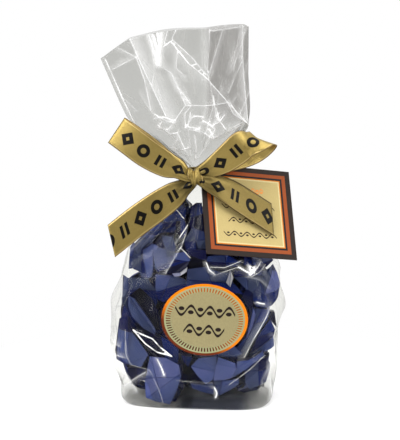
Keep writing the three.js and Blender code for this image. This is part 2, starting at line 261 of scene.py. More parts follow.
bag = {
    # height, reach left, right, front and back, and how square the outline is
    "body": [
        (0, 49, 50, 30, 33, 4),
        (4, 52, 52, 32, 34, 4),
        (11, 51.8, 51.6, 34.4, 34.5, 3.7),
        (23, 56.8, 53.4, 36.8, 35.5, 3.4),
        (34, 58.2, 55.8, 37.8, 36, 3.2),
        (46, 58.8, 55.2, 38.6, 36.4, 3),
        (65, 59, 57.2, 39, 36.4, 3),
        (80, 54, 56, 38.6, 35.6, 2.9),
        (96, 50.6, 52.4, 36.2, 33, 2.7),
        (106, 47, 44.5, 33, 29.6, 2.5),
        (117, 36.5, 35, 26.8, 24.4, 2.3),
        (128, 24, 24, 19, 17.6, 2.1),
        (138, 13.5, 14, 11.8, 11.4, 2),
        (146, 7.6, 7.8, 7.2, 7.2, 2),
        (152, 5.8, 5.8, 5.6, 5.6, 2),
        (162, 5.6, 5.6, 5.4, 5.4, 2),
    ],
    "baseTurn": 6,
    "baseTurnFadesAt": 60,
    "baseRound": 2.2,
    "tiers": [(18, 8, 0.1), (45, 8, 0.6), (71, 8, 0.2), (96, 7, 0.5)],
    "tierBulge": 2.2,
    "tierHalfHeight": 11,
    "tiersStart": (0, 8),
    "pleats": 11,
    "pleatDepth": 0.13,
    "pleatsFrom": 112,
    "pleatsFull": 146,
    "pleatsFade": (0, 0.45),
    "neckTop": 162,
    "fanLeft": [(0, 5.6), (0.18, 25), (0.43, 45.8), (0.52, 49.6), (0.76, 57.2), (1, 64.5)],
    "fanRight": [(0, 5.6), (0.14, 20), (0.3, 33.4), (0.7, 34), (1, 34)],
    "fanHalfDepth": [(0, 5.4), (0.15, 8.5), (0.4, 11.5), (0.75, 12.5), (1, 12)],
    "fanFold": [(0, 0), (0.15, 1.6), (0.4, 2.6), (0.75, 3.4), (1, 3.6)],
    "fanOpens": (0, 0.3),
    "neckSquare": 2,
    "fanSquareLeft": 1.5,
    "fanSquareRight": 4.2,
    "mouth": [
        (-1, 234), (-0.72, 246.8), (-0.66, 248.3), (-0.3, 252.9), (0.2, 254.3), (0.9, 256.4), (1, 255),
    ],
    "frontFolds": (1.9, 0.6),
    "backFolds": (2.4, 2.1),
    "around": 220,
    "bodyRows": 120,
    "fanRows": 74,
    "thick": 0.08,
    # the look of the film, with its places in metres
    "look": {
        "height": 0.26,
        # the low steps near the base are painted shade from the sweets
        "tint": [(0, 0.86), (0.05, 0.89), (0.13, 0.97), (0.55, 0.975), (0.66, 0.87), (1, 0.85)],
        "warmth": 0.99,
        # the film is tinted darker at the right of the open top
        "darkerRight": {
            "x": (0.005, 0.009),
            "z": (0.185, 0.205),
            "share": 0.2,
            "colour": (0.45, 0.43, 0.42),
        },
        # painted shade: the middle of the base is tinted darker where the sweets shade it
        "base": {
            "middle": 0.01,
            "x": (0.027, 0.017),
            "z": (0.014, 0.007),
            "share": 1,
            "colour": (0.56, 0.57, 0.61),
        },
        "ripple": (38, 3, 0.6),
        "rippleBump": (0.17, 0.0016),
        "rough": 0.13,
        "grazing": 5,
        "mirror": (0.008, 0.5),
        "line": (0.3, 0.2),
        "worn": 160,
        "wear": (0.35, 0.6, 0.3, 1),
        "paintedSheen": 0.24,
        "creaseWhiteAndSheen": 0.95,
        "creaseWhiteAndSheenRough": 0.25,
    },
}


def outline(turn, left, right, front, back, squareLeft, squareRight):
    # turn 0 is left, 0.25 front, 0.5 right, 0.75 back
    c = -math.cos(2 * math.pi * turn)
    s = -math.sin(2 * math.pi * turn)
    square = squareLeft + (squareRight - squareLeft) * (c + 1) / 2
    x = math.copysign(abs(c) ** (2 / square), c) * (left if c < 0 else right)
    y = math.copysign(abs(s) ** (2 / square), s) * (front if s < 0 else back)
    return x, y


def ovalShare(x, z):
    # how far a place is from the middle of the label, where its edge is 1
    return math.hypot((x - label["x"]) / (label["wide"] / 2), (z - label["z"]) / (label["high"] / 2))


bodyReach = {}


def reachAt(z):
    if z not in bodyReach:
        rows = bag["body"]
        bodyReach[z] = [along([(r[0], r[i]) for r in rows], z) for i in range(1, 6)]
    return bodyReach[z]


def bodyPoint(turn, z):
    left, right, front, back, square = reachAt(z)
    x, y = outline(turn, left, right, front, back, square, square)
    far = math.hypot(x, y)
    push = 0
    for tierZ, count, phase in bag["tiers"]:
        near = math.exp(-(((z - tierZ) / bag["tierHalfHeight"]) ** 2))
        push += near * bag["tierBulge"] * math.cos(2 * math.pi * (count * turn + phase))
    if y < 0:
        push *= smoothStep(*label["film"], ovalShare(x, z))
    push *= smoothStep(*bag["tiersStart"], z)
    pleats = smoothStep(bag["pleatsFrom"], bag["pleatsFull"], z) * bag["pleatDepth"] * far
    push += pleats * math.cos(2 * math.pi * bag["pleats"] * turn)
    x += x / far * push
    y += y / far * push
    askew = math.radians(bag["baseTurn"]) * (1 - smoothStep(0, bag["baseTurnFadesAt"], z))
    return Vector((
        x * math.cos(askew) + y * math.sin(askew),
        y * math.cos(askew) - x * math.sin(askew),
        z,
    ))


def fanPoint(turn, t):
    left = along(bag["fanLeft"], t)
    right = along(bag["fanRight"], t)
    deep = along(bag["fanHalfDepth"], t)
    opens = smoothStep(*bag["fanOpens"], t)
    neck = bag["neckSquare"]
    squareLeft = neck + (bag["fanSquareLeft"] - neck) * opens
    squareRight = neck + (bag["fanSquareRight"] - neck) * opens
    x, y = outline(turn, left, right, deep, deep, squareLeft, squareRight)
    across = x / (left if x < 0 else right)
    waves, phase = bag["frontFolds"] if y < 0 else bag["backFolds"]
    wave = math.cos(math.pi * waves * across + phase) * along(bag["fanFold"], t)
    inside = min(abs(y) / deep, 1)
    pleats = (1 - smoothStep(*bag["pleatsFade"], t)) * bag["pleatDepth"]
    pleats *= math.cos(2 * math.pi * bag["pleats"] * turn)
    top = along(bag["mouth"], across)
    return Vector((
        x * (1 + pleats),
        y * (1 + pleats) + wave * inside,
        bag["neckTop"] + t * (top - bag["neckTop"]),
    ))


# Folds of the film: where each runs, seen from its own side of the bag, in mm: how far it stands out,
# how far to either side its tent reaches, how white its edge is, partly the creased film's whitening and
# partly a painted highlight, and the painted sheen beside it, to the right of its run where that is above 0
# and to the left where it is below.
folds = {
    "measured": 3.0,
    "sides": {
        "front": {"axis": 0, "out": (0, -1, 0), "turns": (0.0, 0.5)},
        "back": {"axis": 0, "out": (0, 1, 0), "turns": (0.5, 1.0)},
        "left": {"axis": 1, "out": (-1, 0, 0), "turns": (-0.17, 0.17)},
        "right": {"axis": 1, "out": (1, 0, 0), "turns": (0.33, 0.67)},
    },
    # the ones that the photo shows, all on the front
    "seen": [
        # the open top
        ([(-44.7, 248.6), (-34.1, 225.1), (-21, 197.2)], 1.6, 12, 0.45, -0.9),
        ([(-40.2, 235.8), (-34.8, 220.7), (-30.8, 200.1)], 0.9, 4, 0.5, -0.6),
        ([(-61.1, 233.5), (-50, 207.7), (-42.1, 191)], 1.2, 5, 1.0, 0.3),
        ([(-52.3, 241.4), (-40.3, 235.9), (-56.2, 227.1)], 0.8, 4, 0.35, 0.4),
        ([(-30.5, 246.9), (-28.3, 226.9), (-30.2, 216.7)], -1, 5, 0.3, 0.6),
        ([(-31.8, 250.2), (-25.5, 230.5), (-23.9, 250.9)], 0.9, 4, 0.8, 1.6),
        ([(-29, 250.5), (-26, 240.8), (-25.5, 231)], 0.7, 4, 1.2, 2.2),
        ([(-26.5, 251), (-24.6, 242), (-25.4, 231)], 0.7, 4, 1.2, -2.2),
        ([(-13.1, 240.8), (-14, 228.6), (-7.4, 221.9)], 0.7, 4, 0.2, 0.7),
        ([(-16.9, 224.8), (-13.1, 216.3), (-4.6, 204.9)], 0.6, 4, 0.25, 1.1),
        ([(-22.2, 242.9), (-17.6, 246.1), (-5.7, 231.5)], 2, 9, 0.9, 0.4),
        ([(-5.7, 231.5), (7.2, 221.1), (33.7, 190.9)], 2, 9, 0.6, 0.4),
        ([(-16.2, 247), (-2.9, 234.6), (5.9, 224)], -1.2, 5, 0.4, 0.3),
        ([(-13.4, 254.6), (-16.8, 247.7)], 0.7, 3, 0.5, 0.2),
        ([(-19.6, 253.2), (-21.7, 245)], 0.6, 3, 0.4, 0.3),
        ([(-25.5, 230.6), (-17.2, 225.4), (-8, 203.9)], 0.9, 6, 0.3, -0.5),
        ([(7.9, 255), (8.1, 246.4), (6.3, 228), (9.3, 214.1), (10.5, 205.5)], 1.6, 8, 0.3, 0.3),
        ([(30, 257.3), (29.8, 237), (31, 218.6), (33.5, 193.4)], 1.2, 5, 0.3, 0.9),
        ([(8.6, 253), (20, 254.5), (30.5, 255.5)], 0.4, 3, 0.2, -0.8),
        ([(-14.6, 194.5), (-8, 203.9), (4.3, 203.7), (20.6, 206.5)], 1.2, 5, 0.6, 0.2),
        ([(-8.3, 188.5), (-2.5, 196.8), (4.6, 196.2)], 0.8, 3, 0.8, 0.5),
        ([(10.6, 210.8), (12.1, 197.5), (18.3, 188.2)], 0.9, 4, 0.5, 0.6),
        ([(21.8, 206.2), (27.4, 196.2), (34, 190.9)], 0.9, 4, 0.7, 0.4),
        ([(-28.9, 195), (-22.9, 196.6), (-15, 193.9)], 0.8, 3, 0.9, 0.6),
        ([(-19.4, 185.1), (-13.3, 185.6), (-7.7, 172.7)], 0.7, 3, 0.5, 0.7),
        ([(-5.6, 187.6), (4, 185.7), (10.6, 181.7), (29.5, 192.4)], 1, 4, 0.7, -0.5),
        ([(-6.2, 187.7), (-5, 177.9), (-4.6, 169.8)], 0.7, 3, 0.4, 0.4),
        ([(8.6, 180.5), (-0.6, 167)], 0.7, 3, 0.4, 0.3),
        # crumples above the neck
        ([(-28.4, 198.2), (-19.9, 193.4), (-15.1, 192.9)], 0.8, 3, 0.8, 0.9),
        ([(-23.7, 193.4), (-25.6, 188.6), (-19.9, 187.7), (-15, 193)], 0.8, 3, 0.7, 1.2),
        ([(-26.5, 190.5), (-18, 184.8), (-13.2, 185.7)], 0.7, 3, 0.9, 0.8),
        ([(-13.2, 181.9), (-15.2, 175.2), (-10.4, 170.3), (-5.6, 169.9)], 0.6, 3, 0.5, 0.8),
        ([(-19.9, 176.1), (-12.3, 173.7), (-5.6, 175.2)], 0.6, 3, 0.7, 0.6),
        ([(-4.6, 202.9), (-8.4, 198.2), (-8, 188.6)], 0.7, 3, 0.5, 0.5),
        ([(-4.6, 199.1), (-6.5, 189.6), (2, 187.7)], 0.7, 3, 0.6, -0.6),
        ([(-1.8, 182.9), (-0.8, 175.2), (-1.3, 167.4)], 0.7, 2.5, 0.7, 0.8),
        ([(3.9, 193.4), (9.7, 190.5), (14.4, 193.4), (18.2, 198.2)], 0.9, 3, 0.8, 0.9),
        ([(4.9, 193.4), (11.6, 188.6), (9.7, 182.9)], 0.8, 3, 0.7, -0.9),
        ([(7.8, 188.6), (10.6, 182.9), (17.3, 183.8), (28.7, 190.5)], 0.8, 3, 0.8, 1),
        ([(12.5, 202.9), (14.4, 194.4), (19.2, 187.7)], 0.8, 3, 0.7, 1),
        ([(20.1, 205.8), (23.9, 198.2), (32.5, 192.4)], 0.8, 4, 0.5, -1.1),
        # over the sweets
        ([(27.3, 99.2), (35.7, 94.4), (42.1, 100.1)], 0.5, 2, 0.9, -0.8),
        ([(34.7, 99.2), (35.7, 94.4), (37.5, 98.5)], 0.5, 2.4, 1.2, 2.4),
        ([(6, 102), (7.8, 97.3), (10.6, 95.4)], 0.5, 2, 0.9, 0.8),
        ([(8.7, 99.2), (18, 98.7), (29.1, 103)], 0.5, 2.4, 0.4, 0.2),
        ([(39, 75.8), (44.6, 73.9)], 0.5, 2, 0.7, 0.9),
        ([(-26.8, 36.8), (-24, 31), (-22.2, 25.6)], 0.5, 2, 1, 0.9),
        ([(11.2, 17.8), (13.1, 13.4), (12.2, 10)], 0.5, 2, 1.1, 0.9),
        ([(3.7, 39.2), (7, 33.9)], 0.4, 2, 0.6, 0),
        ([(-16.1, 22.7), (-2.4, 21.7), (10.7, 20.8)], 0.5, 3, 0.25, 0),
        ([(49.2, 32), (48.8, 22.2), (51.3, 3.6)], 0.9, 4, 0.35, 0.7),
        ([(-51.7, 31), (-44.8, 19.3), (-41.1, 12.4)], 0.8, 4, 0.35, 0.6),
        ([(-51.9, 13.4), (-43.8, 20.3), (-34.8, 27.1)], 0.8, 4, 0.3, 0.5),
        ([(-34.5, 48), (-42.9, 56.3), (-29.8, 51.5), (-25.1, 45.8), (-17, 39.1)], 0.9, 2.4, 1.3, 0),
        ([(-17, 39.1), (-26.8, 42), (-34.5, 48)], 0.7, 2.4, 1.3, 0),
        ([(-48.4, 56), (-48.2, 38.4), (-44.5, 31.4), (-32.1, 29.1), (-25.8, 15.2), (-23.2, 4.7)],
            0.8, 3, 0.35, 0),
        ([(45.2, 38.1), (20.6, 18.7)], 0.9, 4, 0.45, 0),
        ([(49.2, 70.7), (31.2, 38.7)], 1.2, 5, 0.7, 0.3),
        ([(10.3, 93.6), (26.8, 99), (36.8, 92.9), (50.6, 100.4)], 1, 4, 0.35, 0.15),
        ([(-7.6, 120), (-10.2, 113.2), (-21.5, 95)], 0.9, 4, 0.4, 0.15),
        ([(-14.9, 113.7), (-6.2, 125.2)], 0.8, 4, 0.7, 0),
        ([(-11.5, 111.9), (-4.3, 105.1)], 0.7, 3, 0.5, 0),
        ([(-16.2, 135), (-8.9, 128.9)], 0.7, 3, 0.9, 0),
        ([(24.1, 92.2), (32.8, 77.3)], -0.9, 4, 0.5, 0.2),
    ],
    # the mesh is cut along each fold, in steps, where it lies this near
    "cutStep": 1.2,
    "cutReach": 1.9,
    "cutNear": 0.00002,  # in metres
    "paintedSheenFade": 1.3,
    "paintedSheenBack": 0.8,
    # small folds that the photo shows too many of to place one by one
    "seed": 7,
    "topCount": 46,
    "topSpread": 0.55,
    "topStart": (8, 70),
    "topLength": (10, 34),
    "topBend": 0.35,
    "bodyCount": 40,
    "bodyWide": {"back": 45, "left": 26, "right": 26},
    "bodyHeight": (8, 120),
    "bodyLength": (8, 26),
    "lift": (0.3, 1.1),
    "reach": (2.5, 6),
    # how white a seeded fold's edge is, partly whitening and partly painted highlight, and its painted sheen
    "white": (0.05, 0.4),
    "paintedSheen": (0.1, 0.5),
    # sharp gathers that run out from the neck
    "gathers": [(17, 0.13, 0.05), (26, 0.71, 0.04), (41, 0.37, 0.025)],
    "gathersUneven": 0.4,
    "gathersAbove": 0.55,
    "gathersBelow": (96, 140),
}


def gatherAt(turn):
    push = 0
    uneven = folds["gathersUneven"]
    for count, phase, share in folds["gathers"]:
        place = (turn * count + phase) % 1
        swing = 1 - uneven + uneven * math.cos(2 * math.pi * (3 * turn + phase))
        push += share * (1 - 4 * abs(place - 0.5)) * swing
    return push


def filmPoint(turn, row):
    low = bag["baseRound"]
    if row == 0:
        p = bodyPoint(turn, low)
        far = math.hypot(p.x, p.y)
        return Vector((p.x * (far - low) / far, p.y * (far - low) / far, 0))
    if row <= bag["bodyRows"]:
        p = bodyPoint(turn, low + (bag["neckTop"] - low) * (row - 1) / bag["bodyRows"])
        share = smoothStep(*folds["gathersBelow"], p.z)
    else:
        t = (row - 1 - bag["bodyRows"]) / bag["fanRows"]
        p = fanPoint(turn, t)
        share = 1 - smoothStep(0, folds["gathersAbove"], t)
    push = 1 + gatherAt(turn) * share
    return Vector((p.x * push, p.y * push, p.z))


def makeFilmSleeve():
    # one ring of film drawn up row by row from the base to the mouth
    bm = bmesh.new()
    turnLayer = bm.verts.layers.float.new("turn")
    rowLayer = bm.verts.layers.float.new("row")
    ring = bmesh.ops.create_circle(bm, segments=bag["around"], radius=1)["verts"]
    for i, v in enumerate(ring):
        v[turnLayer] = i / bag["around"]
    edges = list(bm.edges)
    bmesh.ops.edgenet_fill(bm, edges=edges)
    for row in range(1, 2 + bag["bodyRows"] + bag["fanRows"]):
        drawn = bmesh.ops.extrude_edge_only(bm, edges=edges)["geom"]
        for v in (g for g in drawn if isinstance(g, bmesh.types.BMVert)):
            v[rowLayer] = row
        edges = [g for g in drawn if isinstance(g, bmesh.types.BMEdge)]
    for v in bm.verts:
        v.co = filmPoint(v[turnLayer], round(v[rowLayer])) * mm
    bmesh.ops.recalc_face_normals(bm, faces=bm.faces)
    return bm


def seededFold(rng, side, foot, bend, length):
    tip = foot + Vector((math.sin(bend), math.cos(bend))) * length
    lift = rng.choice((1, -1)) * rng.uniform(*folds["lift"])
    reach = rng.uniform(*folds["reach"])
    white = rng.uniform(*folds["white"])
    paintedSheen = rng.choice((1, -1)) * rng.uniform(*folds["paintedSheen"])
    return side, [tuple(foot), tuple(tip)], lift, reach, white, paintedSheen


def seededFolds():
    rng = random.Random(folds["seed"])
    found = []
    for i in range(folds["topCount"]):
        side = rng.choice(["front", "back", "back"])
        angle = rng.gauss(0, folds["topSpread"])
        start = rng.uniform(*folds["topStart"])
        length = rng.uniform(*folds["topLength"])
        foot = Vector((math.sin(angle) * start, bag["neckTop"] + math.cos(angle) * start))
        bend = angle + rng.uniform(-folds["topBend"], folds["topBend"])
        found.append(seededFold(rng, side, foot, bend, length))
    for i in range(folds["bodyCount"]):
        side = rng.choice(["back", "back", "left", "right"])
        wide = folds["bodyWide"][side]
        foot = Vector((rng.uniform(-wide, wide), rng.uniform(*folds["bodyHeight"])))
        bend = rng.uniform(-math.pi, math.pi)
        found.append(seededFold(rng, side, foot, bend, rng.uniform(*folds["bodyLength"])))
    return found


def offLabel(place):
    return ovalShare(*place) > label["clear"]


def onSide(turns, plan):
    low, high = plan["turns"]
    around = (turns + 0.5) % 1 - 0.5
    return (around >= low) & (around <= high) | (turns >= low) & (turns <= high)


def cutAlong(bm, mine, tree, plan, a, b):
    # the faces near the run from a to b are cut on its line, so that a fold there can be sharp
    start = Vector((a[0], 0, a[1])) * mm
    way = Vector((b[0], 0, b[1])) * mm - start
    across = way.cross(Vector((0, 1, 0))).normalized()
    steps = max(int(way.length / (folds["cutStep"] * mm)), 1)
    near = set()
    for i in range(steps + 1):
        found = tree.find_range(start + way * i / steps, folds["cutReach"] * mm)
        near.update(hit[1] for hit in found)
    faces = {f for i in sorted(near) for f in mine[i].link_faces}
    edges = {e for f in faces for e in f.edges}
    verts = {v for f in faces for v in f.verts}
    plane = Vector((across.x, 0, across.z)) if plan["axis"] == 0 else Vector((0, across.x, across.z))
    origin = Vector((start.x, 0, start.z)) if plan["axis"] == 0 else Vector((0, start.x, start.z))
    geom = list(verts) + list(edges) + list(faces)
    bmesh.ops.bisect_plane(bm, geom=geom, dist=folds["cutNear"], plane_co=origin, plane_no=plane)


def cutFolds(bm, every):
    turnLayer = bm.verts.layers.float["turn"]
    for side, plan in folds["sides"].items():
        mine = [v for v in bm.verts if onSide(v[turnLayer], plan)]
        tree = KDTree(len(mine))
        for i, v in enumerate(mine):
            tree.insert((v.co[plan["axis"]], 0, v.co.z), i)
        tree.balance()
        for points in (f[1] for f in every if f[0] == side):
            for a, b in zip(points, points[1:]):
                cutAlong(bm, mine, tree, plan, a, b)


def raiseFolds(bm, every):
    # each fold lifts a tent, and its edge whiteness and painted sheen are kept on the points for the material
    turnLayer = bm.verts.layers.float["turn"]
    turns = np.array([v[turnLayer] for v in bm.verts])
    places = np.array([v.co for v in bm.verts])
    moved = places.copy()
    nearest = np.full(len(turns), folds["measured"])
    white = np.zeros(len(turns))
    paintedSheens = np.zeros(len(turns))
    for side, points, lift, reach, edge, paintedSheen in every:
        plan = folds["sides"][side]
        mine = onSide(turns, plan)
        flat = places[:, [plan["axis"], 2]] / mm
        far = np.full(len(turns), np.inf)
        right = np.zeros(len(turns))
        for a, b in zip(points, points[1:]):
            start, way = np.array(a), np.array(b) - np.array(a)
            away = flat - start
            share = np.clip((away @ way) / (way @ way), 0, 1)
            away -= share[:, None] * way
            here = np.linalg.norm(away, axis=1)
            right = np.where(here < far, np.sign(away[:, 0] * way[1] - away[:, 1] * way[0]), right)
            far = np.minimum(far, here)
        tent = np.clip(1 - far / reach, 0, 1) * mine
        moved += np.array(plan["out"]) * (lift * mm * tent)[:, None]
        closer = (far < nearest) & mine
        nearest = np.where(closer, far, nearest)
        white = np.where(closer, edge, white)
        behind = np.clip(1 - far / folds["paintedSheenBack"], 0, 1) * mine
        beside = np.where(right * paintedSheen >= 0, tent ** folds["paintedSheenFade"], behind)
        paintedSheens = np.maximum(paintedSheens, beside * abs(paintedSheen))
    for name, values in (("foldNear", nearest), ("foldWhiteAndHighlight", white), ("foldPaintedSheen", paintedSheens)):
        layer = bm.verts.layers.float.new(name)
        for v, value in zip(bm.verts, values):
            v[layer] = value
    for v, place in zip(bm.verts, moved):
        v.co = place


def makeFilm():
    bm = makeFilmSleeve()
    every = [("front", *fold) for fold in folds["seen"]] + seededFolds()
    every = [f for f in every if f[0] != "front" or all(offLabel(p) for p in f[1])]
    cutFolds(bm, every)
    raiseFolds(bm, every)
    return bm


def filmTint(tree, place):
    look = bag["look"]
    x, y, z = splitParts(tree, place)
    greys = [(at, (grey, grey, grey * look["warmth"])) for at, grey in look["tint"]]
    tint = colourSteps(tree, mapped(tree, z, 0, look["height"]), greys)
    base = look["base"]
    aside = calc(tree, "ABSOLUTE", calc(tree, "SUBTRACT", x, base["middle"]))
    for part, across in ((look["darkerRight"], x), (base, aside)):
        sideways = mapped(tree, across, *part["x"], soft=True)
        upwards = mapped(tree, z, *part["z"], soft=True)
        share = calc(tree, "MULTIPLY", calc(tree, "MULTIPLY", sideways, upwards), part["share"])
        tint = blendColour(tree, share, tint, part["colour"])
    return tint


def foldLight(tree, place):
    # the whitened edges of the folds, partly the creased film's own whitening and partly painted highlight,
    # and the painted sheen that lies beside them
    look = bag["look"]
    white = stored(tree, "foldWhiteAndHighlight")
    half = calc(tree, "MULTIPLY_ADD", white, *look["line"])
    line = calc(tree, "SUBTRACT", 1, calc(tree, "DIVIDE", stored(tree, "foldNear"), half))
    line = calc(tree, "MULTIPLY", calc(tree, "MAXIMUM", line, 0), white)
    line = calc(tree, "MULTIPLY", line, mapped(tree, noiseOn(tree, place, look["worn"]), *look["wear"]))
    amount = calc(tree, "ADD", line, calc(tree, "MULTIPLY", stored(tree, "foldPaintedSheen"), look["paintedSheen"]))
    amount.node.use_clamp = True
    return amount


def makeFilmMaterial():
    look = bag["look"]
    material, tree = newMaterial("clearFilm")
    place = placeOn(tree)
    clear = tree.nodes.new("ShaderNodeBsdfTransparent")
    tree.links.new(filmTint(tree, place), clear.inputs["Color"])
    # low ripples that the reflections run along
    ripple = bumped(tree, noiseOn(tree, place, *look["ripple"]), *look["rippleBump"])
    gloss = tree.nodes.new("ShaderNodeBsdfGlossy")
    gloss.inputs["Roughness"].default_value = look["rough"]
    tree.links.new(ripple, gloss.inputs["Normal"])
    facing = tree.nodes.new("ShaderNodeLayerWeight")
    facing.inputs["Blend"].default_value = 0.5
    tree.links.new(ripple, facing.inputs["Normal"])
    grazing = calc(tree, "POWER", facing.outputs["Facing"], look["grazing"])
    mirror = mapped(tree, grazing, 0, 1, *look["mirror"])
    shine = mixShaders(tree, mirror, clear.outputs[0], gloss.outputs[0])
    # a pale matte layer for the fold whitening and the painted highlights and sheen
    creaseWhiteAndSheen = tree.nodes.new("ShaderNodeBsdfPrincipled")
    creaseWhiteAndSheen.inputs["Base Color"].default_value = (look["creaseWhiteAndSheen"], look["creaseWhiteAndSheen"], look["creaseWhiteAndSheen"], 1)
    creaseWhiteAndSheen.inputs["Roughness"].default_value = look["creaseWhiteAndSheenRough"]
    finishSurface(tree, mixShaders(tree, foldLight(tree, place), shine, creaseWhiteAndSheen.outputs[0]))
    return material


film = newPiece("film", makeFilm(), [makeFilmMaterial()])
wall = film.modifiers.new("wall", "SOLIDIFY")
wall.thickness = bag["thick"] * mm
wall.offset = -1
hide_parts("bag")
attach(film, "root")
print("film", len(film.data.polygons))


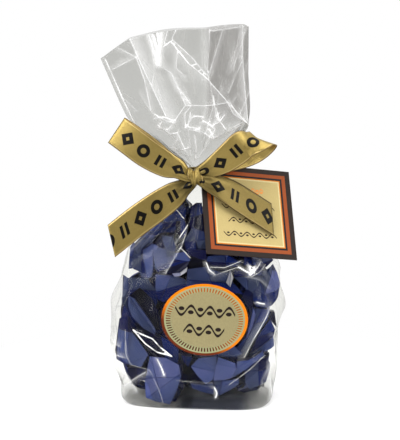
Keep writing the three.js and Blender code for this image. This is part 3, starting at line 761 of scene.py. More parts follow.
truffles = {
    # middle x, y, z; wide, deep, high; turned about x, y, z in degrees; seed
    "seen": [
        (-23, -17, 20, 25, 22, 33, 6, 3, 4, 3),
        (-40, -8, 38, 22, 24, 40, 4, -8, -22, 5),
        (-41, -9, 66, 22, 24, 30, 2, 7, -14, 8),
        (-37, -6, 104, 18, 22, 20, 4, 12, -24, 11),
        (-23, -12, 105, 25, 22, 32, -8, -14, 10, 14),
        (-8, -14, 92, 27, 22, 20, 10, 8, 3, 17),
        (38, -11, 83, 23, 22, 27, 0, 24, 20, 20),
        (32, -7, 102, 24, 23, 20, 14, -12, 16, 23),
        (17, -17, 24, 34, 23, 27, 3, -6, 5, 26),
        (40, -10, 23, 21, 22, 24, 5, 14, 24, 29),
        (42, -10, 49, 21, 24, 26, 2, -10, 20, 32),
        (33, -16, 60, 23, 22, 36, 0, 12, 10, 35),
        (-9, -6, 124, 21, 18, 26, 3, 20, 20, 38),
        (9, -5, 119, 23, 18, 26, 0, -14, 8, 41),
        (-19, -17, 52, 25, 22, 34, 3, 10, -8, 44),
        (7, -17, 60, 28, 22, 34, 0, 0, 4, 47),
        (13, -15, 95, 27, 22, 24, 12, -6, 0, 50),
        # the ones in the middle, which are seen only as dark gaps, their colour painted darker as shade
        (0, -6, 24, 40, 24, 34, 5, 8, 12, 53),
        (-24, -4, 36, 36, 24, 36, 20, 8, 32, 56),
        (24, -4, 40, 36, 24, 36, -12, 18, 12, 59),
        (0, -6, 72, 42, 24, 40, 5, -18, 22, 62),
        (-20, -6, 84, 30, 24, 30, 25, 8, 12, 65),
        (22, -6, 84, 34, 24, 36, -5, 8, -32, 68),
        (0, -8, 108, 30, 20, 30, 5, 28, 12, 71),
    ],
    # The fronts of the wrappers as the photo shows them: how far forward, and then in x and z an outline,
    # folds right across it, and the painted light and shade of its facets, 0 nearly black, 0.6 grey slate and
    # 1 silver.
    "fronts": [
        # slate parcel with crossed folds, bottom left
        (-31, [(-32, 37), (-21, 36), (-12.5, 31.5), (-11, 23.5), (-14, 13.5), (-18.5, 3), (-29, 5.5),
            (-35, 8), (-35.5, 18.5)],
         [(-34, 8, -15.5, 22), (-31, 36.5, -24, 5), (-32, 22, -11.5, 23)],
         [(-33, 26.5, 0.8), (-22.5, 29, 0.86), (-14.5, 28, 0.72), (-18.5, 15, 0.78), (-20.5, 8, 0.7),
            (-30, 7.5, 0.74), (-34, 15, 0.84), (-26.5, 18, 0.82)]),
        # left parcel
        (-27, [(-52.5, 61.5), (-48, 66.5), (-44.5, 62.5), (-43.5, 52.5), (-33, 37.5), (-38, 28.5),
            (-55, 32), (-56, 37.5)],
         [(-53.5, 55, -42.5, 52.5), (-56, 36, -47, 31), (-46.5, 54.5, -47, 29.5)],
         [(-50, 60, 0.22), (-45, 58, 0.12), (-51.5, 44, 0.76), (-41.5, 40.5, 0.72), (-53.5, 32.5, 0.34)]),
        # its foot
        (-25, [(-47.5, 27.5), (-34.5, 27), (-37.5, 20.5), (-41.5, 14.5), (-47.5, 23)],
         [(-41.5, 27.5, -40.5, 15)],
         [(-45, 24.5, 0.1), (-38, 24, 0.22)]),
        # navy behind them
        (-24, [(-42.5, 59), (-28, 51), (-18.5, 45.5), (-12.5, 39.5), (-13, 30.5), (-25.5, 33.5),
            (-34.5, 39.5)],
         [(-25, 50, -21.5, 32)],
         [(-32, 45.5, 0.06), (-18, 38.5, 0.38)]),
        # blue tip
        (-25, [(-11, 36.5), (-3.5, 35), (-6, 28), (-9.5, 32)],
         [(-7.5, 36.5, -8, 29)],
         [(-10, 34.5, 0.25), (-5.5, 33, 0.4)]),
        # upper left parcel
        (-22, [(-50.5, 89.5), (-42, 88.5), (-34, 89.5), (-28, 81), (-27, 72), (-32, 56.5), (-44.5, 62.5),
            (-50.5, 72)],
         [(-50.5, 81, -28, 80), (-46.5, 89.5, -47, 62)],
         [(-40, 85.5, 0.62), (-48.5, 85, 0.66), (-48.5, 72.5, 0.58), (-38.5, 70.5, 0.3)]),
        # its dark side
        (-25, [(-46, 77.5), (-38.5, 83), (-30, 75), (-26.5, 66.5), (-25, 54), (-30.5, 52.5), (-38.5, 68)],
         [(-38.5, 83, -31, 53)],
         [(-42, 76.5, 0.14), (-32, 69, 0.04), (-32, 57.5, 0.1)]),
        # leaf of the wrapper
        (-28, [(-46, 78), (-42, 76.5), (-32.5, 62.5), (-28, 55.5), (-28.5, 51), (-36, 55.5), (-44, 64),
            (-46.5, 71.5)],
         [(-45.5, 77.5, -28.5, 52)],
         [(-37, 70.5, 0.56), (-40.5, 63.5, 0.66)]),
        # slate band left of the label
        (-26, [(-28, 92.5), (-17, 91.5), (-9, 89.5), (-5, 85), (-14.5, 80.5), (-22.5, 73.5), (-26.5, 75),
            (-28, 83)],
         [(-17, 92, -24.5, 75), (-23, 81.5, -5, 86.5)],
         [(-25, 87, 0.86), (-13.5, 88, 0.68), (-19.5, 78.5, 0.3)]),
        # blue edge, far left
        (-15, [(-45.5, 107.5), (-43, 111), (-42, 109.5), (-43, 101.5), (-44, 94), (-46.5, 93.5)],
         [(-46, 101.5, -42.5, 101.5)],
         [(-44.5, 105.5, 0.46), (-45, 97, 0.5)]),
        # parcel at the far left
        (-19, [(-42.5, 110), (-38.5, 114), (-28, 116), (-30.5, 111.5), (-36, 107), (-34.5, 90.5),
            (-43.5, 94.5)],
         [(-38, 114.5, -37.5, 91), (-42.5, 102, -34.5, 101.5)],
         [(-40.5, 107.5, 0.64), (-40, 97.5, 0.56), (-34, 113, 0.68), (-36, 96.5, 0.3)]),
        # light side of the next
        (-25, [(-37, 108.5), (-30, 112.5), (-26, 111), (-29.5, 104.5), (-29.5, 96.5), (-30, 90.5),
            (-34, 89.5)],
         [(-29.5, 111.5, -32.5, 89.5)],
         [(-33.5, 103.5, 0.8), (-30.5, 100.5, 0.84)]),
        # its front
        (-26, [(-29.5, 107.5), (-25.5, 110.5), (-15.5, 107.5), (-9.5, 105), (-14.5, 98), (-21, 97),
            (-28, 95.5)],
         [(-29, 101, -11.5, 106.5), (-21, 109, -19.5, 97)],
         [(-25, 106.5, 0.72), (-18.5, 106.5, 0.6), (-25, 99, 0.75), (-16.5, 101, 0.53)]),
        # its dark shoulder
        (-24, [(-28.5, 112.5), (-24.5, 118), (-16.5, 117), (-14.5, 111.5), (-15, 106.5), (-25, 108.5)],
         [(-24.5, 118, -20.5, 106.5)],
         [(-25, 112.5, 0.12), (-18.5, 112, 0.55)]),
        # its flap
        (-27, [(-15, 107), (-8.5, 108), (-4.5, 102.5), (-10.5, 98.5), (-16, 100.5)],
         [(-15.5, 103, -5, 101)],
         [(-10.5, 106, 0.78), (-10.5, 100.5, 0.2)]),
        # dark fold under it
        (-28, [(-27.5, 96.5), (-20, 100), (-5, 102.5), (-7.5, 97), (-17, 92.5), (-26, 93.5)],
         [(-26, 94.5, -5, 102)],
         [(-18, 98.5, 0.3), (-15, 95, 0.08)]),
        # turned end
        (-27, [(-17.5, 93), (-8, 97.5), (-6.5, 95), (-11.5, 93), (-16.5, 90.5)],
         [(-17, 92, -6.5, 96.5)],
         [(-11.5, 95.5, 0.5), (-11.5, 93.5, 0.7)]),
        # twist at the top left
        (-16, [(-34, 119), (-25, 124.5), (-14.5, 126), (-12.5, 124.5), (-16, 119), (-25, 118.5), (-28, 116),
            (-32.5, 117)],
         [(-32, 118.5, -13, 124), (-23.5, 126, -22.5, 118)],
         [(-28, 121.5, 0.42), (-18.5, 124, 0.25), (-19.5, 120, 0.38)]),
        # next twist
        (-15, [(-25, 127.5), (-10, 137.5), (-7, 134), (-9, 126.5), (-22.5, 125)],
         [(-24, 126.5, -8.5, 135), (-17, 133.5, -13, 126)],
         [(-18.5, 130.5, 0.28), (-13, 128, 0.4), (-11, 135.5, 0.62), (-19.5, 126.5, 0.5)]),
        # dark twist
        (-18, [(-14.5, 126.5), (-8.5, 127), (-7, 119.5), (-10, 115), (-14.5, 119)],
         [(-11.5, 127, -11.5, 115.5)],
         [(-13, 122.5, 0.05), (-9, 121.5, 0.32)]),
        # pale tip
        (-17, [(-38.5, 114), (-34, 118), (-28, 116.5), (-32, 114)],
         [(-33, 119, -33, 113.5)],
         [(-36, 115.5, 0.5), (-30.5, 116, 0.88)]),
        # dark top
        (-15, [(-4.5, 135.5), (-1, 138), (3, 138), (5, 113.5), (-1, 116.5), (-5.5, 123)],
         [(-0.5, 138, -2.5, 116.5), (-5, 128.5, 4.5, 131.5)],
         [(-3, 131.5, 0.3), (1.5, 134, 0.4), (1.5, 122, 0.08), (-3.5, 122, 0.2)]),
        # grey parcel under the top
        (-21, [(-9, 114), (-3.5, 123), (4.5, 120.5), (6, 108.5), (-1, 107.5), (-7.5, 108)],
         [(-3.5, 122.5, 0.5, 107.5), (-8.5, 113, 5.5, 115)],
         [(-5, 116, 0.55), (2.5, 117.5, 0.5), (-4.5, 110, 0.3), (3, 110.5, 0.62)]),
        # black between
        (-24, [(-7.5, 108.5), (5.5, 108.5), (7, 97.5), (-5, 95), (-6.5, 100.5)],
         [(-6.5, 105, 6.5, 100.5)],
         [(0.5, 106, 0.2), (-1, 99, 0.02)]),
        # middle parcel
        (-26, [(7, 104.5), (20.5, 105.5), (29, 101), (25.5, 97.5), (11.5, 97), (6, 101)],
         [(7, 101, 28.5, 100), (18.5, 105.5, 19, 97)],
         [(11.5, 103, 0.52), (23, 102, 0.4), (12.5, 99, 0.14), (22.5, 99, 0.34)]),
        # parcel under the card
        (-26, [(31, 104.5), (44.5, 104.5), (51.5, 99), (38, 92), (30.5, 99)],
         [(35.5, 105, 39, 92), (31, 98, 51, 99.5)],
         [(33, 101.5, 0.3), (42.5, 102, 0.76), (35.5, 96, 0.06), (44.5, 97, 0.22)]),
        # crumpled ball
        (-21, [(41.5, 87.5), (44.5, 94), (51, 96.5), (54, 90.5), (56, 83), (54.5, 75), (50.5, 70),
            (45.5, 68), (39.5, 69), (37, 75), (38, 82)],
         [(36.5, 74.5, 56, 80.5), (41.5, 87.5, 50, 69.5), (51.5, 96.5, 42, 68)],
         [(42.5, 82, 0.8), (46, 88, 0.62), (51.5, 90, 0.76), (52.5, 83.5, 0.9), (47.5, 80.5, 0.93),
            (40, 76.5, 0.48), (43.5, 71.5, 0.38), (49, 73, 0.34)]),
        # slate under the parcel
        (-24, [(24.5, 95), (38, 93), (44, 94.5), (42, 89), (41, 83.5), (37, 79), (32.5, 82), (24.5, 89.5)],
         [(24, 90, 43, 91), (32.5, 93.5, 34, 80.5)],
         [(30, 92, 0.25), (39, 91.5, 0.4), (29, 88, 0.66), (38, 85.5, 0.6)]),
        # slate band over the label
        (-28, [(-6.5, 96.5), (5.5, 98), (16.5, 94), (21.5, 94.5), (23, 88.5), (30.5, 79), (18.5, 81),
            (5, 85), (-7.5, 84.5)],
         [(-7.5, 89, 23, 86.5), (5, 98, 11.5, 82)],
         [(-1, 93, 0.66), (11.5, 92, 0.6), (19, 91, 0.45), (0.5, 86.5, 0.54), (16.5, 84.5, 0.36),
            (25.5, 81.5, 0.4)]),
        # torn pale end
        (-29, [(-17, 93.5), (-11.5, 94), (-6.5, 98), (-7, 95), (-11.5, 92), (-15.5, 91.5)],
         [(-11.5, 94, -11.5, 92)],
         [(-14, 93, 0.97), (-9, 95, 1)]),
        # silver gather
        (-30, [(22, 96), (24, 91), (22, 84.5), (19, 87.5)],
         [(22, 95.5, 21.5, 84.5)],
         [(20.5, 88, 0.94), (23, 90, 1)]),
        # right parcel
        (-25, [(35, 68), (39.5, 69), (49, 68), (47, 61), (40, 50.5), (31.5, 37), (26, 41.5), (33.5, 50.5),
            (34.5, 61.5)],
         [(34, 57.5, 46, 59.5), (43.5, 68.5, 28.5, 38.5)],
         [(38, 65, 0.55), (46, 65, 0.4), (36.5, 54, 0.62), (42, 56, 0.7), (33.5, 45, 0.5)]),
        # its leaf
        (-29, [(37, 71.5), (39, 65), (36.5, 57), (33.5, 49), (32.5, 51), (35, 60.5)],
         [(37.5, 71, 33, 49.5)],
         [(38, 63, 0.8), (35, 59, 0.86)]),
        # navy face at the right
        (-22, [(49, 61), (52.5, 53), (51.5, 48.5), (39.5, 38.5), (35, 35.5), (40.5, 48.5)],
         [(40, 47.5, 52.5, 51.5)],
         [(47.5, 55, 0.4), (42, 42, 0.3)]),
        # slate under it
        (-23, [(51.5, 48.5), (52, 41.5), (45, 38), (35, 36), (39.5, 39)],
         [(45.5, 44.5, 45, 38)],
         [(49, 43.5, 0.76), (40, 37.5, 0.7)]),
        # dark corner
        (-12, [(47, 64), (52.5, 63), (54, 52), (50.5, 56)],
         [(49.5, 64, 53, 52)],
         [(49.5, 61.5, 0.25), (52.5, 59, 0.08)]),
        # bottom parcel, left face
        (-33, [(-4.5, 30.5), (1, 36.5), (13, 38), (13, 30), (10, 21), (5.5, 18), (0, 24)],
         [(-4.5, 31, 12.5, 26.5)],
         [(5, 34, 0.74), (5, 23.5, 0.82)]),
        # its top
        (-31, [(-1, 37), (13, 39.5), (25, 44.5), (30.5, 38.5), (26, 37), (13, 36.5)],
         [(13, 41.5, 14, 36)],
         [(6.5, 37.5, 0.55), (22, 40.5, 0.68)]),
        # bottom parcel, right face
        (-33, [(14, 37.5), (25, 33.5), (26, 28), (23, 22.5), (17.5, 21), (10.5, 20.5), (12, 28)],
         [(13, 32.5, 26, 30)],
         [(19, 34.5, 0.82), (18, 25.5, 0.86)]),
        # bottom parcel, underside
        (-31, [(-5, 19), (5.5, 17), (10, 20), (11.5, 15.5), (11, 10.5), (3, 12.5), (-3.5, 15)],
         [(-5, 17.5, 11, 14.5)],
         [(4.5, 17, 0.66), (4.5, 14, 0.5)]),
        # its foot at the right
        (-32, [(11, 20.5), (23, 21), (27.5, 22.5), (28, 18), (22, 14), (13.5, 9.5), (12, 15.5)],
         [(11, 17, 28, 19.5), (16.5, 20.5, 14.5, 10)],
         [(14, 19, 0.6), (22, 19.5, 0.78), (13, 13.5, 0.5), (20, 15.5, 0.74)]),
        # wing to the right
        (-32, [(26.5, 34), (35.5, 35), (44.5, 41), (45, 37.5), (31.5, 27.5), (23, 22), (26, 28)],
         [(26, 30, 44.5, 39)],
         [(32.5, 33.5, 0.76), (30, 28, 0.82)]),
        # bottom right parcel
        (-26, [(32.5, 29), (40, 33.5), (46.5, 35), (49, 31), (49, 26), (46.5, 17.5), (35, 12.5), (32, 18)],
         [(41, 34, 41.5, 13.5), (33, 25, 49, 27.5)],
         [(35.5, 20, 0.66), (44.5, 21.5, 0.3), (37.5, 28.5, 0.6), (45.5, 30.5, 0.16)]),
    ],
    "frontDeep": 9,
    "frontDrawnIn": 0.8,
    "foldRelief": 0.9,
    "innerRelief": 1.6,
    "cutNear": 0.05,
    "paintedSideShade": 0.1,
    "paintedValleyShade": -0.35,
    "paintedRimHighlight": 0.1,
    "palest": 0.95,
    "coreBack": 8,
    "paintedCoreShade": 0.35,
    "jitter": 0.22,
    "cuts": 6,
    "cutAt": (0.62, 0.9),
    "creased": 10,
    "creaseAngle": (0.8, 1.8),
    "crossing": (-4.6, 3.4),
    "creaseEnds": (-2.6, 1),
    "sharpAbove": 0.16,
    "edge": 0.22,
    "longest": 6,
    # painted light and shade by facing: the middle shade and how it swings with the facet's normal
    "paintedToneMiddle": 0.45,
    "paintedToneSwing": (9, 5, 7),
    # sweets at the back, in rows of a height and a count
    "hidden": {
        "seed": 4,
        "rows": [(16, 4), (44, 5), (71, 5), (102, 4), (118, 2)],
        "size": (23, 29),
        "turned": 40,
        "insideX": 16,
        "insideY": 14,
        "depth": (0.25, 0.75),
        "earFrom": 14,
        "earLong": 9,
        "earHalf": (6, 9),
        "earPleats": (3, 6),
    },
    "ear": {
        "rows": 10,
        "shorter": 0.34,
        "depth": (0.3, 1.5),
        "aside": 0.5,
        "bend": (0.5, 4),
        "pinched": 0.12,
        "opens": 0.8,
        "rounded": 0.2,
        "relief": 0.24,
        "curl": 2,
        "foil": 0.3,
    },
    # how far the sweets stay inside the film
    "inside": 1.2,
    "insideX": 4,
    "insideY": 2.6,
    "narrows": (135, 100),
    "pressedFrom": 0.92,
    "lowest": 0.5,
    "tuckSide": 0.5,
    "tuckMost": 0.98,
    "crumple": (55, 3),
    "crumpleBump": (0.18, 0.001),
    "crumpleShade": 0.25,
    # colours for the painted light and shade of the facets, from shaded navy to lit slate and silver
    "paintedShades": [
        (0, (0.0005, 0.0005, 0.003)),
        (0.22, (0.001, 0.002, 0.045)),
        (0.42, (0.003, 0.014, 0.11)),
        (0.6, (0.026, 0.036, 0.082)),
        (0.82, (0.042, 0.06, 0.18)),
        (0.92, (0.08, 0.09, 0.23)),
        (1, (0.35, 0.35, 0.37)),
    ],
    "coat": {"Roughness": 0.32, "Specular IOR Level": 0.12},
}


def filmAround(z):
    return reachAt(round(min(max(z, 0), bag["neckTop"]), 1))


def keepInFilm(verts):
    # towards the film a place is pressed in more and more, and never reaches it
    for v in verts:
        left, right, front, back, square = filmAround(v.co.z)
        narrow = smoothStep(*truffles["narrows"], min(max(v.co.z, 0), bag["neckTop"]))
        side = left if v.co.x < 0 else right
        x = abs(v.co.x) / (side - truffles["insideX"] * narrow - truffles["inside"])
        y = abs(v.co.y) / ((front if v.co.y < 0 else back) - truffles["insideY"])
        out = (x ** square + y ** square) ** (1 / square)
        free = truffles["pressedFrom"]
        if out > free:
            room = 1 - free
            keep = free + room * (1 - math.exp((free - out) / room))
            v.co.x *= keep / out
            v.co.y *= keep / out
        v.co.z = max(v.co.z, truffles["lowest"])


def tuckBehindFilm(verts):
    # straight back until it clears the film, so that the outline stays as it is seen
    for v in verts:
        left, right, front, back, square = filmAround(v.co.z)
        side = (left if v.co.x < 0 else right) - truffles["tuckSide"]
        share = min(abs(v.co.x) / side, truffles["tuckMost"])
        room = (1 - share ** square) ** (1 / square) * (front - truffles["insideY"])
        v.co.y = max(v.co.y, -room)


def everything(part):
    return part.verts[:] + part.edges[:] + part.faces[:]


def addPart(bm, part):
    mesh = bpy.data.meshes.new("part")
    part.to_mesh(mesh)
    part.free()
    bm.from_mesh(mesh)
    bpy.data.meshes.remove(mesh)


def anyWay(rng):
    return Vector((rng.gauss(0, 1), rng.gauss(0, 1), rng.gauss(0, 1))).normalized()


def bevelled(part, edges):
    return bmesh.ops.bevel(
        part, geom=edges, offset=truffles["edge"], segments=1, profile=0.5, material=-1,
        affect="EDGES", clamp_overlap=True,
    )["faces"]


def splitLong(part):
    bmesh.ops.triangulate(part, faces=part.faces[:])
    edges = [e for e in part.edges if e.calc_length() > truffles["longest"]]
    bmesh.ops.subdivide_edges(part, edges=edges, cuts=2, use_grid_fill=True)


def creaseFace(part, face, rng):
    # two folds cross the face, and their ends and their crossing stand out or sink in
    middle = face.calc_center_median()
    normal = face.normal.copy()
    first = anyWay(rng).cross(normal).normalized()
    second = Matrix.Rotation(rng.uniform(*truffles["creaseAngle"]), 3, normal) @ first
    faces = [face]
    before = set(part.verts)
    for way in (first, second):
        geom = faces + list({e for f in faces for e in f.edges}) + list({v for f in faces for v in f.verts})
        cut = bmesh.ops.bisect_plane(part, geom=geom, plane_co=middle, plane_no=way)
        faces = [g for g in cut["geom"] if isinstance(g, bmesh.types.BMFace)]
    added = [v for v in part.verts if v not in before]
    for v in added:
        centred = (v.co - middle).length < 0.01
        v.co += normal * rng.uniform(*truffles["crossing" if centred else "creaseEnds"])


def paintShadeByFacing(part, seed, share=1):
    # painted light and shade: every facet's colour is painted from nearly black to slate by the way it faces,
    # as if some facets caught the light and others lay in shade
    part.normal_update()
    layer = part.faces.layers.float.get("paintedTone") or part.faces.layers.float.new("paintedTone")
    swing = truffles["paintedToneSwing"]
    paintedTone = truffles["paintedToneMiddle"]
    for face in part.faces:
        n = face.normal
        wave = math.sin(seed + swing[0] * n.x + swing[1] * n.y + swing[2] * n.z)
        face[layer] = (paintedTone + paintedTone * wave) * share


def makeParcel(bm, place, size, turned, seed, share=1):
    # a sweet folded into its wrapper: a jittered block with its corners pressed flat and its faces creased
    rng = random.Random(seed)
    part = bmesh.new()
    for v in bmesh.ops.create_cube(part, size=1)["verts"]:
        v.co = Vector(c * (1 + rng.uniform(-1, 1) * truffles["jitter"]) * s for c, s in zip(v.co, size))
    bmesh.ops.convex_hull(part, input=part.verts)
    for i in range(truffles["cuts"]):
        way = anyWay(rng)
        reach = max(v.co.dot(way) for v in part.verts)
        cut = bmesh.ops.bisect_plane(
            part, geom=everything(part), plane_co=way * reach * rng.uniform(*truffles["cutAt"]),
            plane_no=way, clear_outer=True,
        )
        rim = [g for g in cut["geom_cut"] if isinstance(g, bmesh.types.BMEdge)]
        bmesh.ops.contextual_create(part, geom=rim)
    largest = sorted(part.faces, key=bmesh.types.BMFace.calc_area, reverse=True)
    for face in largest[:truffles["creased"]]:
        creaseFace(part, face, rng)
    bmesh.ops.triangulate(part, faces=part.faces[:])
    bevelled(part, [e for e in part.edges if e.is_manifold and e.calc_face_angle(0) > truffles["sharpAbove"]])
    spin = Euler([math.radians(a) for a in turned]).to_matrix().to_4x4()
    bmesh.ops.transform(part, matrix=Matrix.Translation(place) @ spin, verts=part.verts)
    splitLong(part)
    keepInFilm(part.verts)
    paintShadeByFacing(part, seed, share)
    addPart(bm, part)


def paintedShadeAt(paintedShades, place):
    far = [math.hypot(x - place.x, z - place.z) for x, z, shade in paintedShades]
    return paintedShades[far.index(min(far))][2]


def makeFront(bm, front, outlineAt, foldsAt, paintedShades, seed):
    rng = random.Random(seed)
    relief = truffles["foldRelief"]
    part = bmesh.new()
    ring = bmesh.ops.create_circle(part, segments=len(outlineAt), cap_ends=True, radius=1)["verts"]
    for v, (x, z) in zip(ring, outlineAt):
        v.co = (x, front + rng.uniform(0, relief), z)
    for ax, az, bx, bz in foldsAt:
        across = Vector((bz - az, 0, ax - bx)).normalized()
        bmesh.ops.bisect_plane(
            part, geom=everything(part), dist=truffles["cutNear"], plane_co=(ax, front, az), plane_no=across,
        )
    for v in part.verts:
        v.co.y += rng.uniform(-1, 1) * relief * (1 if v.is_boundary else truffles["innerRelief"])
    # painted light and shade: each facet takes the painted shade of the nearest listed point
    layer = part.faces.layers.float.new("paintedTone")
    for face in part.faces:
        face[layer] = paintedShadeAt(paintedShades, face.calc_center_median())
    facets = part.faces[:]
    middle = sum((v.co for v in part.verts), Vector()) / len(part.verts)
    drawn = bmesh.ops.extrude_face_region(part, geom=facets)["geom"]
    # painted shade on the sides of the wrapper
    for face in set(part.faces) - set(facets):
        face[layer] = truffles["paintedSideShade"]
    for v in (g for g in drawn if isinstance(g, bmesh.types.BMVert)):
        v.co = middle + (v.co - middle) * truffles["frontDrawnIn"]
        v.co.y += truffles["frontDeep"]
    bmesh.ops.recalc_face_normals(part, faces=part.faces[:])
    rims = [e for e in part.edges if e.is_manifold and any(f not in facets for f in e.link_faces)]
    valleys = [e for e in part.edges if e.is_manifold and e not in rims]
    # painted shade in the valleys between facets and a painted highlight along the rims
    for edges, change in ((valleys, truffles["paintedValleyShade"]), (rims, truffles["paintedRimHighlight"])):
        for face in bevelled(part, [e for e in edges if e.is_valid]):
            face[layer] = min(max(face[layer] + change, 0), truffles["palest"])
    splitLong(part)
    tuckBehindFilm(part.verts)
    addPart(bm, part)


def makeEar(bm, foot, tip, half, pleats, seed):
    # a pinched end of foil that spreads towards its tip in uneven pleats
    ear = truffles["ear"]
    rng = random.Random(seed)
    part = bmesh.new()
    way = tip - foot
    side = way.cross(Vector((0, -1, 0))).normalized()
    out = side.cross(way).normalized()
    steps = pleats * 4
    shorter = [rng.uniform(0, ear["shorter"]) for i in range(steps + 1)]
    depth = [rng.uniform(*ear["depth"]) for i in range(steps + 1)]
    aside = [rng.uniform(-ear["aside"], ear["aside"]) / steps for i in range(steps + 1)]
    bend = rng.uniform(*ear["bend"])
    for v in bmesh.ops.create_grid(part, x_segments=steps, y_segments=ear["rows"], size=1)["verts"]:
        u, t = v.co.x, (v.co.y + 1) / 2
        step = round((u + 1) / 2 * steps)
        fold = (abs(step % 4 - 2) - 1) * depth[step]
        spread = half * (ear["pinched"] + (1 - ear["pinched"]) * t ** ear["opens"])
        long = 1 - shorter[step] * t - ear["rounded"] * u * u
        v.co = foot + way * t * long + side * (u + 2 * aside[step]) * spread
        v.co += out * (fold * spread * ear["relief"] + bend * math.sin(math.pi * t) - ear["curl"] * u * u * t)
    bmesh.ops.recalc_face_normals(part, faces=part.faces)
    bmesh.ops.solidify(part, geom=part.faces[:], thickness=ear["foil"])
    keepInFilm(part.verts)
    paintShadeByFacing(part, seed)
    addPart(bm, part)


def makeHidden(bm):
    hidden = truffles["hidden"]
    near, more = hidden["depth"]
    rng = random.Random(hidden["seed"])
    for z, count in hidden["rows"]:
        left, right, front, back, square = reachAt(z)
        wide = left - hidden["insideX"]
        deep = back - hidden["insideY"]
        for i in range(count):
            angle = math.pi * (i + 0.5) / count
            c, s = math.cos(angle), math.sin(angle)
            place = Vector((c * wide, (near + more * s) * deep, z))
            size = [rng.uniform(*hidden["size"]) for k in range(3)]
            turned = [rng.uniform(-hidden["turned"], hidden["turned"]) for k in range(3)]
            makeParcel(bm, place, size, turned, rng.random())
            foot = place + Vector((c, s, rng.uniform(-0.5, 0.5))) * hidden["earFrom"]
            tip = foot + Vector((-s, c, rng.uniform(-1, 1))) * hidden["earLong"]
            half = rng.uniform(*hidden["earHalf"])
            makeEar(bm, foot, tip, half, rng.randint(*hidden["earPleats"]), rng.random())


def makeTruffles():
    bm = bmesh.new()
    bm.faces.layers.float.new("paintedTone")
    for row in truffles["seen"]:
        # painted shade: the cores' facets are painted darker than the fronts
        place = Vector(row[0:3]) + Vector((0, truffles["coreBack"], 0))
        makeParcel(bm, place, row[3:6], row[6:9], row[9], truffles["paintedCoreShade"])
    for i, front in enumerate(truffles["fronts"]):
        makeFront(bm, *front, i)
    makeHidden(bm)
    bmesh.ops.scale(bm, vec=(mm, mm, mm), verts=bm.verts)
    return bm


def makeWrapperMaterial():
    # smooth navy foil with light and shade painted into its colour: slate where a facet is painted as lit and
    # nearly black where it is painted as shaded
    material, tree = newMaterial("wrapper")
    crumple = noiseOn(tree, placeOn(tree), *truffles["crumple"])
    uneven = calc(tree, "SUBTRACT", crumple, 0.5)
    # the painted light and shade of each facet, made a little uneven by the crumple noise
    paintedTone = calc(tree, "MULTIPLY_ADD", uneven, truffles["crumpleShade"], stored(tree, "paintedTone"))
    colour = colourSteps(tree, paintedTone, truffles["paintedShades"])
    relief = bumped(tree, crumple, *truffles["crumpleBump"])
    finishSurface(tree, coated(tree, colour, relief, truffles["coat"]))
    return material


sweets = newPiece("truffles", makeTruffles(), [makeWrapperMaterial()], smooth=False)
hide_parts("bag")
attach(sweets, "root")
print("truffles", len(sweets.data.polygons))


